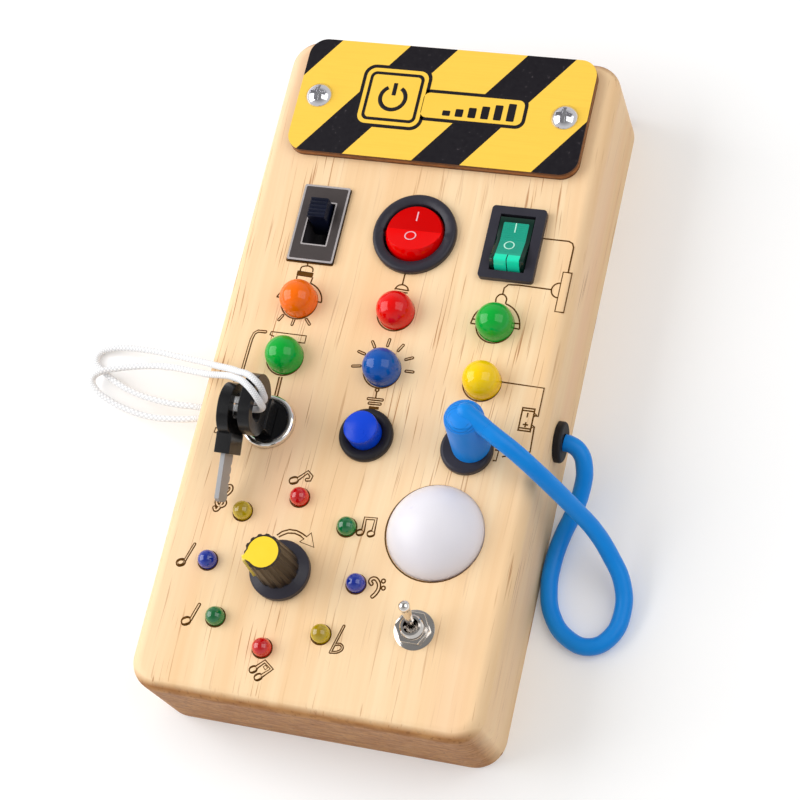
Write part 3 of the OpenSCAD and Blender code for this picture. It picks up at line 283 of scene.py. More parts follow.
def strokes(lines, place):
    """Flat raised lines on the plane of place: (width, points), then "closed", "smooth" or "round"."""
    data, finish = flat_curve("strokes", place, dimensions="3D", bevel_depth=0.0005, bevel_resolution=1,
                              resolution_u=5, use_fill_caps=True)
    for width, points, *rest in lines:
        smooth = "smooth" in rest
        spline = data.splines.new("BEZIER" if smooth else "POLY")
        knots = spline.bezier_points if smooth else spline.points
        wide = capped(points, width) if "round" in rest else [(point, width) for point in points]
        knots.add(len(wide) - 1)
        for knot, (point, across) in zip(knots, wide):
            knot.co = mm(*point, 0) if smooth else (*mm(*point, 0), 1)
            knot.radius = across
            if smooth:
                knot.handle_left_type = knot.handle_right_type = "AUTO"
        spline.use_cyclic_u = "closed" in rest
    return finish(flat=0.12)


def sheet(loops, place, thick=0.02):
    """A thin flat sheet with the outlines of loops in mm. A loop inside another one is a hole."""
    data, finish = flat_curve("sheet", place, dimensions="2D", fill_mode="BOTH", extrude=thick * 0.0005)
    for loop in loops:
        spline = data.splines.new("POLY")
        spline.points.add(len(loop) - 1)
        for knot, point in zip(spline.points, loop):
            knot.co = (*mm(*point, 0), 1)
        spline.use_cyclic_u = True
    return finish()


def arc(x, y, radius, start, end, count=24):
    """Points along an arc, angles in degrees."""
    turns = [math.radians(start + (end - start) * i / count) for i in range(count + 1)]
    return [(x + radius * math.cos(turn), y + radius * math.sin(turn)) for turn in turns]


def rounded(x0, y0, x1, y1, radius):
    """Outline of a rectangle with round corners."""
    corners = ((x1 - radius, y1 - radius), (x0 + radius, y1 - radius),
               (x0 + radius, y0 + radius), (x1 - radius, y0 + radius))
    return [point for quarter, (x, y) in enumerate(corners)
            for point in arc(x, y, radius, 90 * quarter, 90 * quarter + 90, 8)]


def shift(*place):
    return Matrix.Translation(mm(*place))


def tilt(degrees, axis="X"):
    return Matrix.Rotation(math.radians(degrees), 4, axis)


# ---------- materials ----------

def paint(code):
    """An sRGB hex colour as a linear RGBA."""
    parts = [int(code[i:i + 2], 16) / 255 for i in (1, 3, 5)]
    return (*[p / 12.92 if p <= 0.04045 else ((p + 0.055) / 1.055) ** 2.4 for p in parts], 1)


def add(tree, kind, inputs=None, **settings):
    """Adds a node. An input is a value or another node's output."""
    made = tree.nodes.new("ShaderNode" + kind)
    for name, value in settings.items():
        setattr(made, name, value)
    for name, value in (inputs or {}).items():
        socket = made.inputs[name]
        if isinstance(value, bpy.types.NodeSocket):
            tree.links.new(value, socket)
        else:
            socket.default_value = value
    return made


def shade(name, **sockets):
    """A new material with its shader, the shader's sockets named with _ for spaces."""
    material = bpy.data.materials.new(name)
    material.use_nodes = True
    shader = material.node_tree.nodes["Principled BSDF"]
    for socket, value in sockets.items():
        shader.inputs[socket.replace("_", " ")].default_value = value
    return material, material.node_tree, shader


def noise(tree, place, per_metre, detail=2.0):
    """Noise whose patches are 1 / per_metre of a metre along X, Y and Z."""
    scaled = add(tree, "Mapping", {"Vector": place, "Scale": per_metre})
    made = add(tree, "TexNoise", {"Vector": scaled.outputs["Vector"], "Scale": 1.0, "Detail": detail})
    return made.outputs["Fac"]


def ramp(tree, value, low, high, to_low=0.0, to_high=1.0):
    """Value between low and high, as a number between to_low and to_high."""
    return add(tree, "MapRange", {"Value": value, "From Min": low, "From Max": high,
                                  "To Min": to_low, "To Max": to_high}).outputs["Result"]


def blend(tree, factor, first, second):
    """Mixes two colours, each a hex code or a node's output."""
    first = paint(first) if isinstance(first, str) else first
    second = paint(second) if isinstance(second, str) else second
    return add(tree, "Mix", {0: factor, 6: first, 7: second}, data_type="RGBA").outputs[2]


def calculate(tree, operation, first, second=0.0):
    return add(tree, "Math", {0: first, 1: second}, operation=operation).outputs["Value"]


def times(tree, first, second):
    return calculate(tree, "MULTIPLY", first, second)


def axes(tree, vector):
    return add(tree, "SeparateXYZ", {"Vector": vector}).outputs


def facing(tree):
    """The way that a face looks: Z is 1 on top and 0 on a wall."""
    return axes(tree, add(tree, "NewGeometry").outputs["Normal"])


def feed(shader, socket, value):
    shader.id_data.links.new(value, shader.inputs[socket])


def emboss(shader, height, strength, distance):
    """Small bumps of height, a number from 0 to 1, that are distance metres tall at strength 1."""
    bump = add(shader.id_data, "Bump", {"Height": height, "Strength": strength, "Distance": distance})
    feed(shader, "Normal", bump.outputs["Normal"])


def speckled(name, dark, light, grain, bump, roughness, spread=0.08, **sockets):
    """A surface that drifts from dark to light over patches, with grain mm of moulding texture."""
    material, tree, shader = shade(name, **sockets)
    place = add(tree, "TexCoord").outputs["Object"]
    patches = add(tree, "TexNoise", {"Vector": place, "Scale": 1000 / (grain * 14), "Detail": 3.0})
    fine = add(tree, "TexNoise", {"Vector": place, "Scale": 1000 / grain, "Detail": 2.0})
    gloss = ramp(tree, patches.outputs["Fac"], 0, 1, max(0.02, roughness - spread), roughness + spread)
    feed(shader, "Base Color", blend(tree, patches.outputs["Fac"], dark, light))
    feed(shader, "Roughness", gloss)
    emboss(shader, fine.outputs["Fac"], bump, grain * 0.0002)
    return material


def pine():
    """Sanded, oiled pine: cream with soft bands, thin brown dashes along the grain, and ends painted dark
    brown: partly real end grain, partly painted shade.
    """
    material, tree, shader = shade("sanded_pine", Specular_IOR_Level=0.2)
    place = add(tree, "TexCoord").outputs["Object"]
    # The grain wanders by about 2 mm along the board
    sway = noise(tree, place, (12, 9, 12), 2.0)
    push = add(tree, "CombineXYZ", {"X": ramp(tree, sway, 0, 1, -0.004, 0.004)})
    grain = add(tree, "VectorMath", {0: place, 1: push.outputs["Vector"]}, operation="ADD").outputs["Vector"]
    # Growth bands about 8 mm wide, and fainter ones of 1.5 mm
    wide = noise(tree, grain, (125, 3, 90), 2.0)
    narrow = noise(tree, grain, (620, 7, 420), 2.0)
    wood = blend(tree, ramp(tree, wide, 0.36, 0.66), "#F7CF9F", "#FCDDB2")
    wood = blend(tree, ramp(tree, narrow, 0.42, 0.7, 0.0, 0.28), wood, "#EFC28C")
    # Pinkish heartwood in places
    rosy = noise(tree, grain, (45, 9, 45), 1.0)
    wood = blend(tree, ramp(tree, rosy, 0.5, 0.75, 0.0, 0.5), wood, "#F9D0AE")
    # Resin lines 0.3 mm wide and 5 to 25 mm long, in loose groups
    dashes = noise(tree, grain, (1700, 48, 1200), 1.5)
    groups = noise(tree, grain, (120, 14, 90), 1.0)
    strength = ramp(tree, groups, 0.4, 0.6, 0.12, 0.88)
    lines = times(tree, ramp(tree, dashes, 0.61, 0.73), strength)
    wood = blend(tree, lines, wood, "#AE6C38")
    # Across the grain, on the ends, the wood is painted brown and porous: end grain is darker, and the depth
    # of this brown is painted shade for the dim end faces
    ends = ramp(tree, calculate(tree, "ABSOLUTE", facing(tree)["Y"]), 0.35, 0.8)
    pores = noise(tree, place, (900, 900, 900), 2.0)
    rings = noise(tree, place, (160, 160, 600), 1.0)
    cut = blend(tree, ramp(tree, rings, 0.35, 0.65), "#A9713F", "#C28C55")
    cut = blend(tree, ramp(tree, pores, 0.55, 0.7, 0.0, 0.5), cut, "#7F4E28")
    wood = blend(tree, ends, wood, cut)
    feed(shader, "Base Color", wood)
    feed(shader, "Roughness", ramp(tree, narrow, 0.2, 0.8, 0.6, 0.46))
    emboss(shader, dashes, 0.15, 0.0001)
    return material


# The plate's lower edge, where the stripes are counted from
PLATE_EDGE = 58.4
STRIPE_YELLOW, STRIPE_BLACK = "#FFD04E", "#17131A"
# The stripes repeat every pitch mm along X, the black one takes a share of that, and they lean by the slope
STRIPE_PITCH, STRIPE_SHARE, STRIPE_SLOPE, STRIPE_START = 33.5, 0.407, 0.735, 4.2


def striped_plywood():
    """Thin laser-cut plywood printed with satin black and yellow stripes: its edge is scorched brown."""
    material, tree, shader = shade("printed_plywood", Specular_IOR_Level=0.25)
    place = add(tree, "TexCoord").outputs["Object"]
    at = axes(tree, place)
    along = times(tree, at["Y"], -STRIPE_SLOPE * 1000 / STRIPE_PITCH)
    across = times(tree, at["X"], 1000 / STRIPE_PITCH)
    offset = (STRIPE_SLOPE * PLATE_EDGE + STRIPE_START) / STRIPE_PITCH
    turn = calculate(tree, "ADD", calculate(tree, "ADD", across, along), offset)
    phase = calculate(tree, "FRACT", calculate(tree, "ADD", turn, 4.0))
    black = calculate(tree, "LESS_THAN", phase, STRIPE_SHARE)
    flecks = noise(tree, place, (900, 900, 900), 2.0)
    fibre = noise(tree, place, (80, 2500, 80), 1.0)
    yellow = blend(tree, ramp(tree, fibre, 0.4, 0.7, 0.0, 0.35), STRIPE_YELLOW, "#F7C648")
    ink = blend(tree, ramp(tree, flecks, 0.68, 0.8, 0.0, 0.35), STRIPE_BLACK, "#6E6468")
    face = blend(tree, black, yellow, ink)
    # Three plies, the middle one paler
    plies = calculate(tree, "ABSOLUTE", calculate(tree, "SUBTRACT", at["Z"], (TOP + 1.4) * 0.001))
    scorch = noise(tree, place, (300, 300, 1200), 2.0)
    edge = blend(tree, ramp(tree, plies, 0.0004, 0.0008), "#A4683A", "#6B3C1E")
    edge = blend(tree, ramp(tree, scorch, 0.4, 0.7, 0.0, 0.6), edge, "#56301A")
    feed(shader, "Base Color", blend(tree, ramp(tree, facing(tree)["Z"], 0.45, 0.6), edge, face))
    feed(shader, "Roughness", ramp(tree, flecks, 0.3, 0.7, 0.34, 0.5))
    emboss(shader, fibre, 0.08, 0.0001)
    return material


def plastic(name, dark, light, grain, bump, roughness, mirror=0.25):
    """Moulded plastic or print, that mirrors less than bare resin."""
    return speckled(name, dark, light, grain, bump, roughness, Specular_IOR_Level=mirror)


def metal(name, tint, roughness):
    """Bare or plated metal: its tint, with faint polishing marks."""
    return speckled(name, tint, tint, 0.6, 0.03, roughness, spread=0.04, Metallic=1.0)


def resin(name, deep, bright, **sockets):
    """Resin dyed right through: saturated, with a smooth moulded skin that shows the windows."""
    sockets = {"Specular_IOR_Level": 0.42, **sockets}
    return speckled(name, deep, bright, 0.9, 0.0, 0.07, spread=0.02, **sockets)


def tinted_glass(name, tint, inner):
    """Small lamp's resin, a little clear under a gloss skin: inner is its middle, painted darker as painted
    shade, tint its rim, painted lighter as painted light.
    """
    material, tree, shader = shade(name, Roughness=0.04, Transmission_Weight=0.12, IOR=1.5, Coat_Weight=0.6,
                                   Coat_IOR=1.6, Coat_Roughness=0.02)
    # Dark where the face looks up and pale on the sides: painted shade and painted light
    feed(shader, "Base Color", blend(tree, ramp(tree, facing(tree)["Z"], 0.35, 0.9), tint, inner))
    return material


def braid(name, dark, light, turns, plaits):
    """Round braid of polyester yarn, laid along the cord's own UV map and coarse enough to show."""
    material, tree, shader = shade(name, Roughness=0.8, Specular_IOR_Level=0.2, Sheen_Weight=0.3)
    at = axes(tree, add(tree, "TexCoord").outputs["UV"])
    along = times(tree, at["X"], turns)
    around = times(tree, at["Y"], plaits)
    left = calculate(tree, "PINGPONG", calculate(tree, "ADD", along, around), 0.5)
    right = calculate(tree, "PINGPONG", calculate(tree, "SUBTRACT", along, around), 0.5)
    height = times(tree, times(tree, left, right), 4.0)
    # The yarn is painted darker where the plaits dip, as painted shade in the braid's grooves
    feed(shader, "Base Color", blend(tree, ramp(tree, height, 0.05, 0.5), dark, light))
    emboss(shader, height, 0.45, 0.00012)
    return material


PINE = pine()
# Rotary-cut veneer, paler and plainer than the pine
PLYWOOD = speckled("birch_plywood", "#D9B27A", "#E8C591", 0.8, 0.2, 0.6)
PLATE = striped_plywood()
INK_BLACK = plastic("printed_black", STRIPE_BLACK, "#1D191E", 0.5, 0.05, 0.42)
INK_YELLOW = plastic("printed_yellow", "#FBCB48", STRIPE_YELLOW, 0.5, 0.05, 0.42)
# Wood charred by the laser: dark brown and dull, also used for the painted shadow round the holes
BURN_AND_SHADOW = speckled("laser_burn_and_shadow", "#4E3008", "#6E4716", 0.3, 0.2, 0.8, Specular_IOR_Level=0.1)
# Cover screws, springs and terminals: bright and mirror-like
STEEL = metal("plated_steel", "#E2E1E6", 0.1)
# Smoked chrome on pressed steel: it mirrors the room darkly
DARK_CHROME = speckled("smoked_chrome", "#4E4746", "#5E5655", 0.9, 0.1, 0.36, Metallic=0.6)
# The slide plate's polished border, the same chrome as its face, painted pale as a painted highlight
RIM_PAINTED_HIGHLIGHT = speckled("polished_rim_painted_highlight", "#D6CECE", "#E4DCDC", 0.6, 0.03, 0.25, Metallic=0.6)
# The lock mirrors the room clearly, the toggle a little warmer
CHROME = metal("polished_chrome", "#EDEBE8", 0.08)
NICKEL = metal("nickel_plate", "#E0DBD6", 0.1)
# Key blades are cut metal, dull and evenly grey
KEY_STEEL = speckled("nickel_silver", "#A4A4A7", "#ADADB0", 0.6, 0.03, 0.5, Metallic=0.3)
# Moulded black plastic: satin, a dark charcoal
BLACK = plastic("black_abs", "#221F22", "#2A272A", 0.35, 0.12, 0.45)
# Switch bezels and the jack have a bluish, silkier black
INK_BLUE_BLACK = plastic("bluish_black_abs", "#2B2933", "#34323C", 0.35, 0.08, 0.4, 0.3)
# Bakelite-like grip, slightly brown and duller than the switches
GRIP = plastic("knob_black", "#2B2119", "#382C20", 0.35, 0.1, 0.36, 0.35)
# Key heads and the lock's core have a shinier, deeper black
GLOSS_BLACK = plastic("gloss_black_abs", "#0B0B0D", "#141416", 0.5, 0.03, 0.24, 0.35)
# The slide's thumb is nearly black, with a blue cast
NAVY = plastic("navy_abs", "#080C1C", "#0F1630", 0.3, 0.1, 0.4)
# Translucent rocker caps: vivid, with soft gloss, each with a darker part; on the red one, its upper slope,
# this is painted shade
RED_CAP = resin("red_polycarbonate", "#E60000", "#F60000", Specular_IOR_Level=0.15)
RED_PAINTED_SHADE = resin("red_polycarbonate_shaded", "#C40000", "#D80000", Specular_IOR_Level=0.15)
GREEN_SHELL = resin("green_shell", "#04241B", "#073226")
GREEN_TOP = resin("green_slope_tone", "#179A80", "#22A88C")
GREEN_FRONT = resin("green_front_tone", "#12DDB0", "#22E8BC")
# Painted I and O, tinted by the caps below
MARK_WHITE = speckled("mark_paint", "#F0B8C6", "#F8C8D4", 0.3, 0.0, 0.5)
MARK_MINT = speckled("mint_mark_paint", "#B8F2DC", "#C6F8E4", 0.3, 0.0, 0.5)
# Big lamps: opaque, candy-bright and glossy
LAMP_MATERIALS = {
    "orange": resin("orange_resin", "#FF6A00", "#FF7600"), "red": resin("red_resin", "#E00000", "#F20400"),
    "green": resin("green_resin", "#00A02C", "#00B43E"), "blue": resin("blue_resin", "#084CA4", "#0E5AB4"),
    "yellow": resin("yellow_resin", "#FFCA00", "#FFD800")}
# Small lamps: deeper in colour
RING_MATERIALS = {
    "yellow": tinted_glass("yellow_clear_resin", "#D8C000", "#B09000"),
    "green": tinted_glass("green_clear_resin", "#009048", "#006A34"),
    "blue": tinted_glass("blue_clear_resin", "#0838C0", "#082C9C"),
    "red": tinted_glass("red_clear_resin", "#F00008", "#CC0008")}
# Milky plastic lets light through a little; a faint emission, a painted glow, keeps its shaded side pale
LENS_PAINTED_GLOW = speckled("milky_acrylic_painted_glow", "#F5EEFA", "#FAF5FF", 1.0, 0.0, 0.3, Specular_IOR_Level=0.3,
                Subsurface_Weight=0.6, Subsurface_Radius=(0.008, 0.008, 0.0085),
                Subsurface_Scale=1.0, Emission_Color=paint("#F3E9FF"), Emission_Strength=0.06)
# Inner boards: glossy green varnish
BOARD_GREEN = speckled("solder_mask", "#0B4A24", "#11602F", 0.4, 0.1, 0.3)
# White yarn: dull, with the braid's pattern shaded darker in its grooves as painted shade, and looser in the
# knots
CORD_WHITE = braid("braided_polyester", "#DADADC", "#F9F9F9", 150, 4)
KNOT_WHITE = speckled("knotted_polyester", "#D2D2D4", "#F4F4F5", 0.4, 0.6, 0.8)
# The patch cable's soft sky-blue sheath
BLUE_PVC = plastic("blue_pvc", "#0086E4", "#1090EA", 0.35, 0.1, 0.36)
# The push button's deep blue, smoother than the cable
BUTTON_BLUE = plastic("blue_abs", "#0040D0", "#0848DC", 0.35, 0.05, 0.3)
# The grommet is matt black
RUBBER = plastic("black_rubber", "#131112", "#1E1B1C", 0.3, 0.25, 0.6)
# The knob's pointer: warm yellow, satin
YELLOW = plastic("yellow_abs", "#FFD426", "#FFDC36", 0.35, 0.06, 0.4)
# The same plastic, painted paler as painted light through its thin walls
YELLOW_PAINTED_LIGHT = plastic("yellow_abs_painted_light", "#FBE468", "#FFEC78", 0.35, 0.06, 0.4)
# Hidden: a cell's printed sleeve and the wires' cover
CELL = speckled("cell_sleeve", "#43464E", "#565A64", 0.5, 0.05, 0.3, Metallic=0.3)
WIRE = speckled("wire_cover", "#9A1414", "#B01A1A", 0.3, 0.1, 0.45)

# ---------- camera ----------

lens = bpy.data.cameras.new("camera")
lens.lens = 99.58
lens.sensor_width = 36
lens.clip_start = 0.01
camera = bpy.data.objects.new("camera", lens)
camera.matrix_world = Matrix(((0.947778, -0.125772, 0.293083, 0.176206),
                              (0.220251, 0.922747, -0.31627, -0.19106),
                              (-0.230663, 0.364306, 0.902261, 0.549285), (0, 0, 0, 1)))
bpy.context.collection.objects.link(camera)
bpy.context.scene.camera = camera

# ---------- wooden case, plate and its print ----------

case = merged_copy("wooden_body")
# The panel's points are set on one plane and its triangles joined, so that it shades flat between the holes
for corner in case.data.vertices:
    if abs(corner.co.z * 1000 - TOP) < 0.01:
        corner.co.z = TOP * 0.001
flatten(case, 0.05)
soften(case, 0)
show(case, PINE, "wooden_body_skin", "board", stands_for=("wooden_body",))
dress_all(("back_cover", PLYWOOD, 0), ("back_screws", STEEL, 0.08), ("hazard_plate", PLATE, 0.12),
          ("plate_screws", STEEL, 0.08))

# Top of the plate, and the badge printed on it
PLATE_TOP = 33.0
BADGE_BOX = (-23.6, 67.2, -3.8, 86.4)
BADGE_TAB = (-6.0, 70.6, 24.6, 80.2)


def inset(box, margin):
    return (box[0] + margin, box[1] + margin, box[2] - margin, box[3] - margin)


def printed(*layers):
    """One rounded sheet per layer: its box, how far it is set in, its corners' radius and its height."""
    return [sheet([rounded(*inset(box, margin), radius)], shift(0, 0, PLATE_TOP + height))
            for box, margin, radius, height in layers]


badge_black = printed((BADGE_BOX, 0, 3.4, 0.01), (BADGE_TAB, 0, 2.6, 0.01), (BADGE_BOX, 2.1, 1.8, 0.05))
badge_yellow = printed((BADGE_BOX, 1.0, 2.6, 0.03), (BADGE_TAB, 1.0, 1.8, 0.03), (BADGE_BOX, 3.0, 1.1, 0.07))
symbol_x = (BADGE_BOX[0] + BADGE_BOX[2]) / 2
symbol_y = (BADGE_BOX[1] + BADGE_BOX[3]) / 2 - 0.3
badge_black.append(strokes([(1.2, arc(symbol_x, symbol_y, 3.6, 122, 418)),
                            (1.2, [(symbol_x, symbol_y + 0.8), (symbol_x, symbol_y + 4.6)])],
                           shift(0, 0, PLATE_TOP + 0.08)))
for step in range(6):
    bar_x = 1.2 + 3.6 * step
    badge_black.append(sheet([rounded(bar_x, 72.6, bar_x + 2.2, 74.2 + 0.75 * step, 0.3)],
                             shift(0, 0, PLATE_TOP + 0.05)))
badge_black = join(badge_black)
show(badge_black, INK_BLACK, "badge_black_print", "board", slot="warning_yellow")
badge_yellow = join(badge_yellow)
show(badge_yellow, INK_YELLOW, "badge_yellow_print", "board", slot="warning_yellow")

# ---------- burnt lines, symbols and painted shadow rings on the panel ---

# Widths of the burnt lines in mm
THIN, HEAVY, WIDE, RAY = 0.42, 0.6, 1.15, 0.86


def box_line(x0, y0, x1, y1):
    return (THIN, [(x0, y0), (x1, y0), (x1, y1), (x0, y1)], "closed")


PENDANT = [
    (THIN, [(-26.9, 26.4), (-26.8, 25.3)]),
    (THIN, [(-28.5, 23.8), (-28.4, 24.8), (-27.6, 25.3), (-25.8, 25.3), (-25.1, 24.8), (-24.9, 23.8)],
     "smooth"),
    (1.5, [(-29.2, 23.1), (-24.6, 22.9)]),
    (THIN, [(-29.0, 22.3), (-28.9, 20.6)]), (THIN, [(-24.5, 22.3), (-24.7, 20.6)]),
    (THIN, [(-24.7, 20.6), (-22.9, 19.7), (-21.5, 18.4), (-20.6, 16.8), (-20.3, 15.4)], "smooth"),
    (THIN, [(-20.3, 15.4), (-21.8, 15.5)]),
    (THIN, [(-31.2, 18.6), (-32.4, 16.9), (-33.2, 15.5)], "smooth"), (THIN, [(-33.2, 15.5), (-31.9, 15.5)])]
KEY_LINE = [(0.95, [(-33.7, 5.1), (-35.8, 5.05), (-36.7, 4.3), (-37.1, 2.6), (-37.2, 0), (-37.4, -8.2)])]
PENDANT_RAYS = [(RAY, [(-30.1, 10.4), (-30.9, 9.0)]), (RAY, [(-26.7, 9.6), (-26.9, 8.1)]),
                (RAY, [(-23.3, 10.1), (-22.1, 8.8)])]
RED_BULB = [
    (THIN, [(0.7, 26.4), (0.7, 23.2)]),
    (THIN, [(-1.1, 21.6), (-0.5, 22.7), (0.7, 23.2), (2.1, 22.7), (2.8, 21.6)], "smooth"),
    (THIN, [(-0.9, 21.9), (2.6, 21.7)]), (THIN, [(-0.9, 21.2), (2.7, 21.0)])]
DESK_LAMP = [
    (THIN, [(-31.0, 4.1), (-32.3, 4.5), (-32.1, 5.4), (-22.1, 5.4), (-22.1, 3.3), (-24.2, 3.3)]),
    (THIN, arc(-37.6, -9.7, 1.3, 60, 200, 10)),
    (THIN, [(-39.4, -23.6), (-40.5, -23.5), (-40.6, -24.8), (-39.4, -24.9)]),
    (THIN, [(-26.7, -7.0), (-26.6, -13.0)]), (THIN, [(-25.9, -7.0), (-25.8, -13.0)])]
BLUE_RAYS = [(RAY, [(-5.4, -1.1), (-7.4, -1.4)]), (RAY, [(-5.0, 2.4), (-6.7, 2.9)]),
             (RAY, [(-2.7, 4.7), (-3.6, 6.1)]), (RAY, [(0.7, 5.5), (0.9, 7.3)]),
             (RAY, [(3.9, 4.5), (4.9, 6.2)]), (RAY, [(6.5, 2.3), (8.2, 3.0)]),
             (RAY, [(7.3, -0.9), (9.2, -0.9)])]
BLUE_BULB = [
    (THIN, arc(0.8, -7.1, 0.45, 0, 360, 12), "closed"), (THIN, [(0.8, -7.6), (0.9, -9.3)]),
    (0.8, [(-0.3, -12.2), (2.4, -12.1)])]
BULB_BARS = [(0.9, [(-1.0, -9.8), (2.8, -9.7)]), (0.9, [(-0.5, -11.0), (2.5, -10.9)])]
GREEN_BELL = [
    (THIN, [(28.3, 23.8), (28.3, 25.6), (29.2, 26.7), (32.1, 26.9), (41.0, 26.7)]),
    (THIN, [(26.9, 21.2), (26.9, 22.8), (28.1, 23.8), (29.5, 22.9), (29.6, 21.3)], "smooth"),
    (THIN, [(29.6, 21.3), (31.6, 20.4), (33.2, 18.9), (34.3, 16.9), (34.8, 14.6)], "smooth"),
    (THIN, [(34.8, 14.6), (33.2, 14.7)]), (THIN, [(34.4, 16.1), (33.2, 16.1)]),
    (THIN, [(23.4, 19.2), (22.1, 17.2), (21.5, 14.6)], "smooth"), (THIN, [(21.5, 14.6), (22.9, 14.6)]),
    (THIN, [(21.9, 15.9), (23.0, 15.9)])]
DOORBELL = [
    (THIN, arc(43.0, 26.7, 2.1, 90, 270, 16)), box_line(43.0, 20.7, 45.4, 32.0),
    (THIN, [(35.8, 40.9), (42.7, 40.9), (43.8, 40.4), (44.3, 39.3), (44.3, 32.0)])]
BATTERY = [
    (THIN, [(33.1, -0.5), (44.6, -0.7), (44.6, -8.5), (43.6, -8.5)]),
    (HEAVY, [(40.2, -12.9), (43.4, -12.9), (43.4, -6.7), (40.2, -6.7)], "closed"),
    (THIN, [(40.2, -7.4), (43.4, -7.4)]), (THIN, [(40.2, -12.2), (43.4, -12.2)]),
    (THIN, [(43.4, -7.8), (44.1, -8.2), (43.4, -8.9)]), (THIN, [(43.4, -11.0), (44.1, -11.4), (43.4, -11.9)]),
    (THIN, [(41.8, -7.9), (41.8, -9.2)]), (THIN, [(41.1, -11.2), (42.5, -11.2)]),
    (THIN, [(41.8, -10.5), (41.8, -11.9)]), (THIN, [(44.2, -11.4), (44.5, -18.3), (37.6, -20.6)]),
    (THIN, [(35.4, -19.0), (36.4, -19.1), (36.3, -21.9), (35.4, -21.9)])]
# Symbols of even width, drawn as a wide dark line with bare wood down its middle
TREBLE_CLEF = [
    (WIDE, [(-33.2, -41.2), (-33.2, -39.9), (-32.4, -38.8), (-31.8, -39.4), (-32.3, -40.8), (-33.6, -41.9),
            (-34.8, -42.9), (-34.6, -44.2), (-33.4, -44.6), (-32.5, -43.7), (-33.1, -42.8)], "smooth"),
    (WIDE, [(-33.2, -41.4), (-33.8, -44.9), (-34.6, -45.8), (-35.1, -45.2)], "smooth")]
QUAVER = [(2.3, [(-15.8, -34.9), (-15.3, -34.7)]),
          (WIDE, [(-14.9, -34.6), (-12.3, -32.0), (-11.1, -33.0), (-11.3, -34.0), (-12.1, -34.1)])]
HALF_NOTE = [(2.3, [(-40.5, -61.2), (-40.0, -61.0)]), (0.85, [(-39.3, -60.4), (-37.8, -55.7)])]
HALF_NOTE_MIDDLE = [(0.2, [(x + 0.3 * y, y * 0.8) for x, y in arc(0, 0, 0.75, 0, 360, 16)])]
CROTCHET = [(2.5, [(-34.9, -76.2), (-34.5, -76.0)]), (0.95, [(-33.6, -75.6), (-32.3, -71.3)])]
FLAT_SIGN = [(0.8, [(7.0, -70.7), (5.1, -77.9)]),
             (0.8, [(6.0, -75.7), (7.2, -75.5), (7.9, -76.3), (7.1, -77.4), (5.2, -77.8)], "smooth")]
JOINED_QUAVERS = [(2.0, [(5.2, -46.0), (5.5, -45.9)]), (2.0, [(8.1, -45.9), (8.4, -45.8)]),
                  (WIDE, [(6.0, -45.5), (5.9, -42.0), (8.7, -41.8), (8.7, -45.4)])]
SEMIQUAVERS = [(2.1, [(-13.9, -85.6), (-13.6, -85.4)]), (2.1, [(-12.1, -87.3), (-11.8, -87.1)]),
               (WIDE, [(-13.4, -85.2), (-11.2, -83.0), (-8.9, -84.6), (-11.4, -87.0)])]
BASS_CLEF = [(WIDE, [(11.5, -58.8), (11.0, -58.1), (11.8, -57.3), (13.0, -57.9), (13.6, -59.4), (13.2, -61.0),
                     (12.5, -62.0)], "smooth")]
SEMIQUAVER_BEAM = [(0.3, [(-11.3, -84.4), (-10.8, -83.9), (-10.1, -84.5), (-10.6, -85.1)], "closed")]
BASS_DOTS = [(THIN, arc(x, y, 0.5, 0, 360, 12), "closed") for x, y in ((14.4, -57.6), (14.8, -59.4))]
ARROW = [(THIN, [(-16.4, -50.0), (-15.2, -48.8), (-13.4, -48.0), (-11.4, -48.0), (-9.6, -48.6), (-8.4, -49.2),
                 (-7.4, -48.0), (-5.8, -51.7), (-9.9, -50.8), (-9.0, -49.9), (-10.2, -49.2), (-11.8, -48.8),
                 (-13.6, -49.0), (-14.8, -49.7), (-15.8, -50.4)])]
OUTLINED = (TREBLE_CLEF + QUAVER + HALF_NOTE + CROTCHET + FLAT_SIGN + JOINED_QUAVERS + SEMIQUAVERS + BASS_CLEF
            + PENDANT_RAYS + BLUE_RAYS + BULB_BARS + KEY_LINE)


def burn_and_shadow_rim(x, y, radius, width, offset=0.2):
    """Dark ring round a hole, set off centre towards -X and -Y: partly the hole's charred edge, partly
    painted shadow in the gap round what sits in it.
    """
    return (width, arc(x - offset, y - offset, radius, 0, 360, 48), "closed")


# Dark border left on each side of a symbol's bare middle
RIM_W = 0.3
SLIDE_HOLE = (-32.86, 26.51, -19.76, 49.11)
dark_lines = PENDANT + RED_BULB + DESK_LAMP + BLUE_BULB + GREEN_BELL + DOORBELL + BATTERY
dark_lines += BASS_DOTS + SEMIQUAVER_BEAM + ARROW
dark_lines += [(width + 0.05, points, "round", *rest) for width, points, *rest in OUTLINED]
# Dark rings round the lamps, the knob's small lamps, the dome and the slide's hole: partly charred edges,
# partly painted shadow, so they are set off towards -X and -Y
dark_lines += [burn_and_shadow_rim(x, y, LAMP_R + 0.1, 0.4) for x, y in LAMPS.values()]
dark_lines += [burn_and_shadow_rim(KNOB[0] + RING_R * math.cos(math.radians(turn)),
                            KNOB[1] + RING_R * math.sin(math.radians(turn)), SMALL_R + 0.15, 0.4, 0.08)
               for turn in range(0, 360, 45)]
dark_lines += [burn_and_shadow_rim(*DOME, DOME_R + 0.05, 0.4)]
dark_lines += [(0.5, [(x - 0.15, y - 0.15) for x, y in rounded(*SLIDE_HOLE, 0.3)], "closed")]
burn_and_shadow = join([strokes(dark_lines, shift(0, 0, TOP)),
              strokes([(width, points, "closed") for width, points in HALF_NOTE_MIDDLE],
                      shift(-40.25, -61.1, TOP + 0.18))])
show(burn_and_shadow, BURN_AND_SHADOW, "burnt_and_shadow_lines", "board", slot="body_wood")
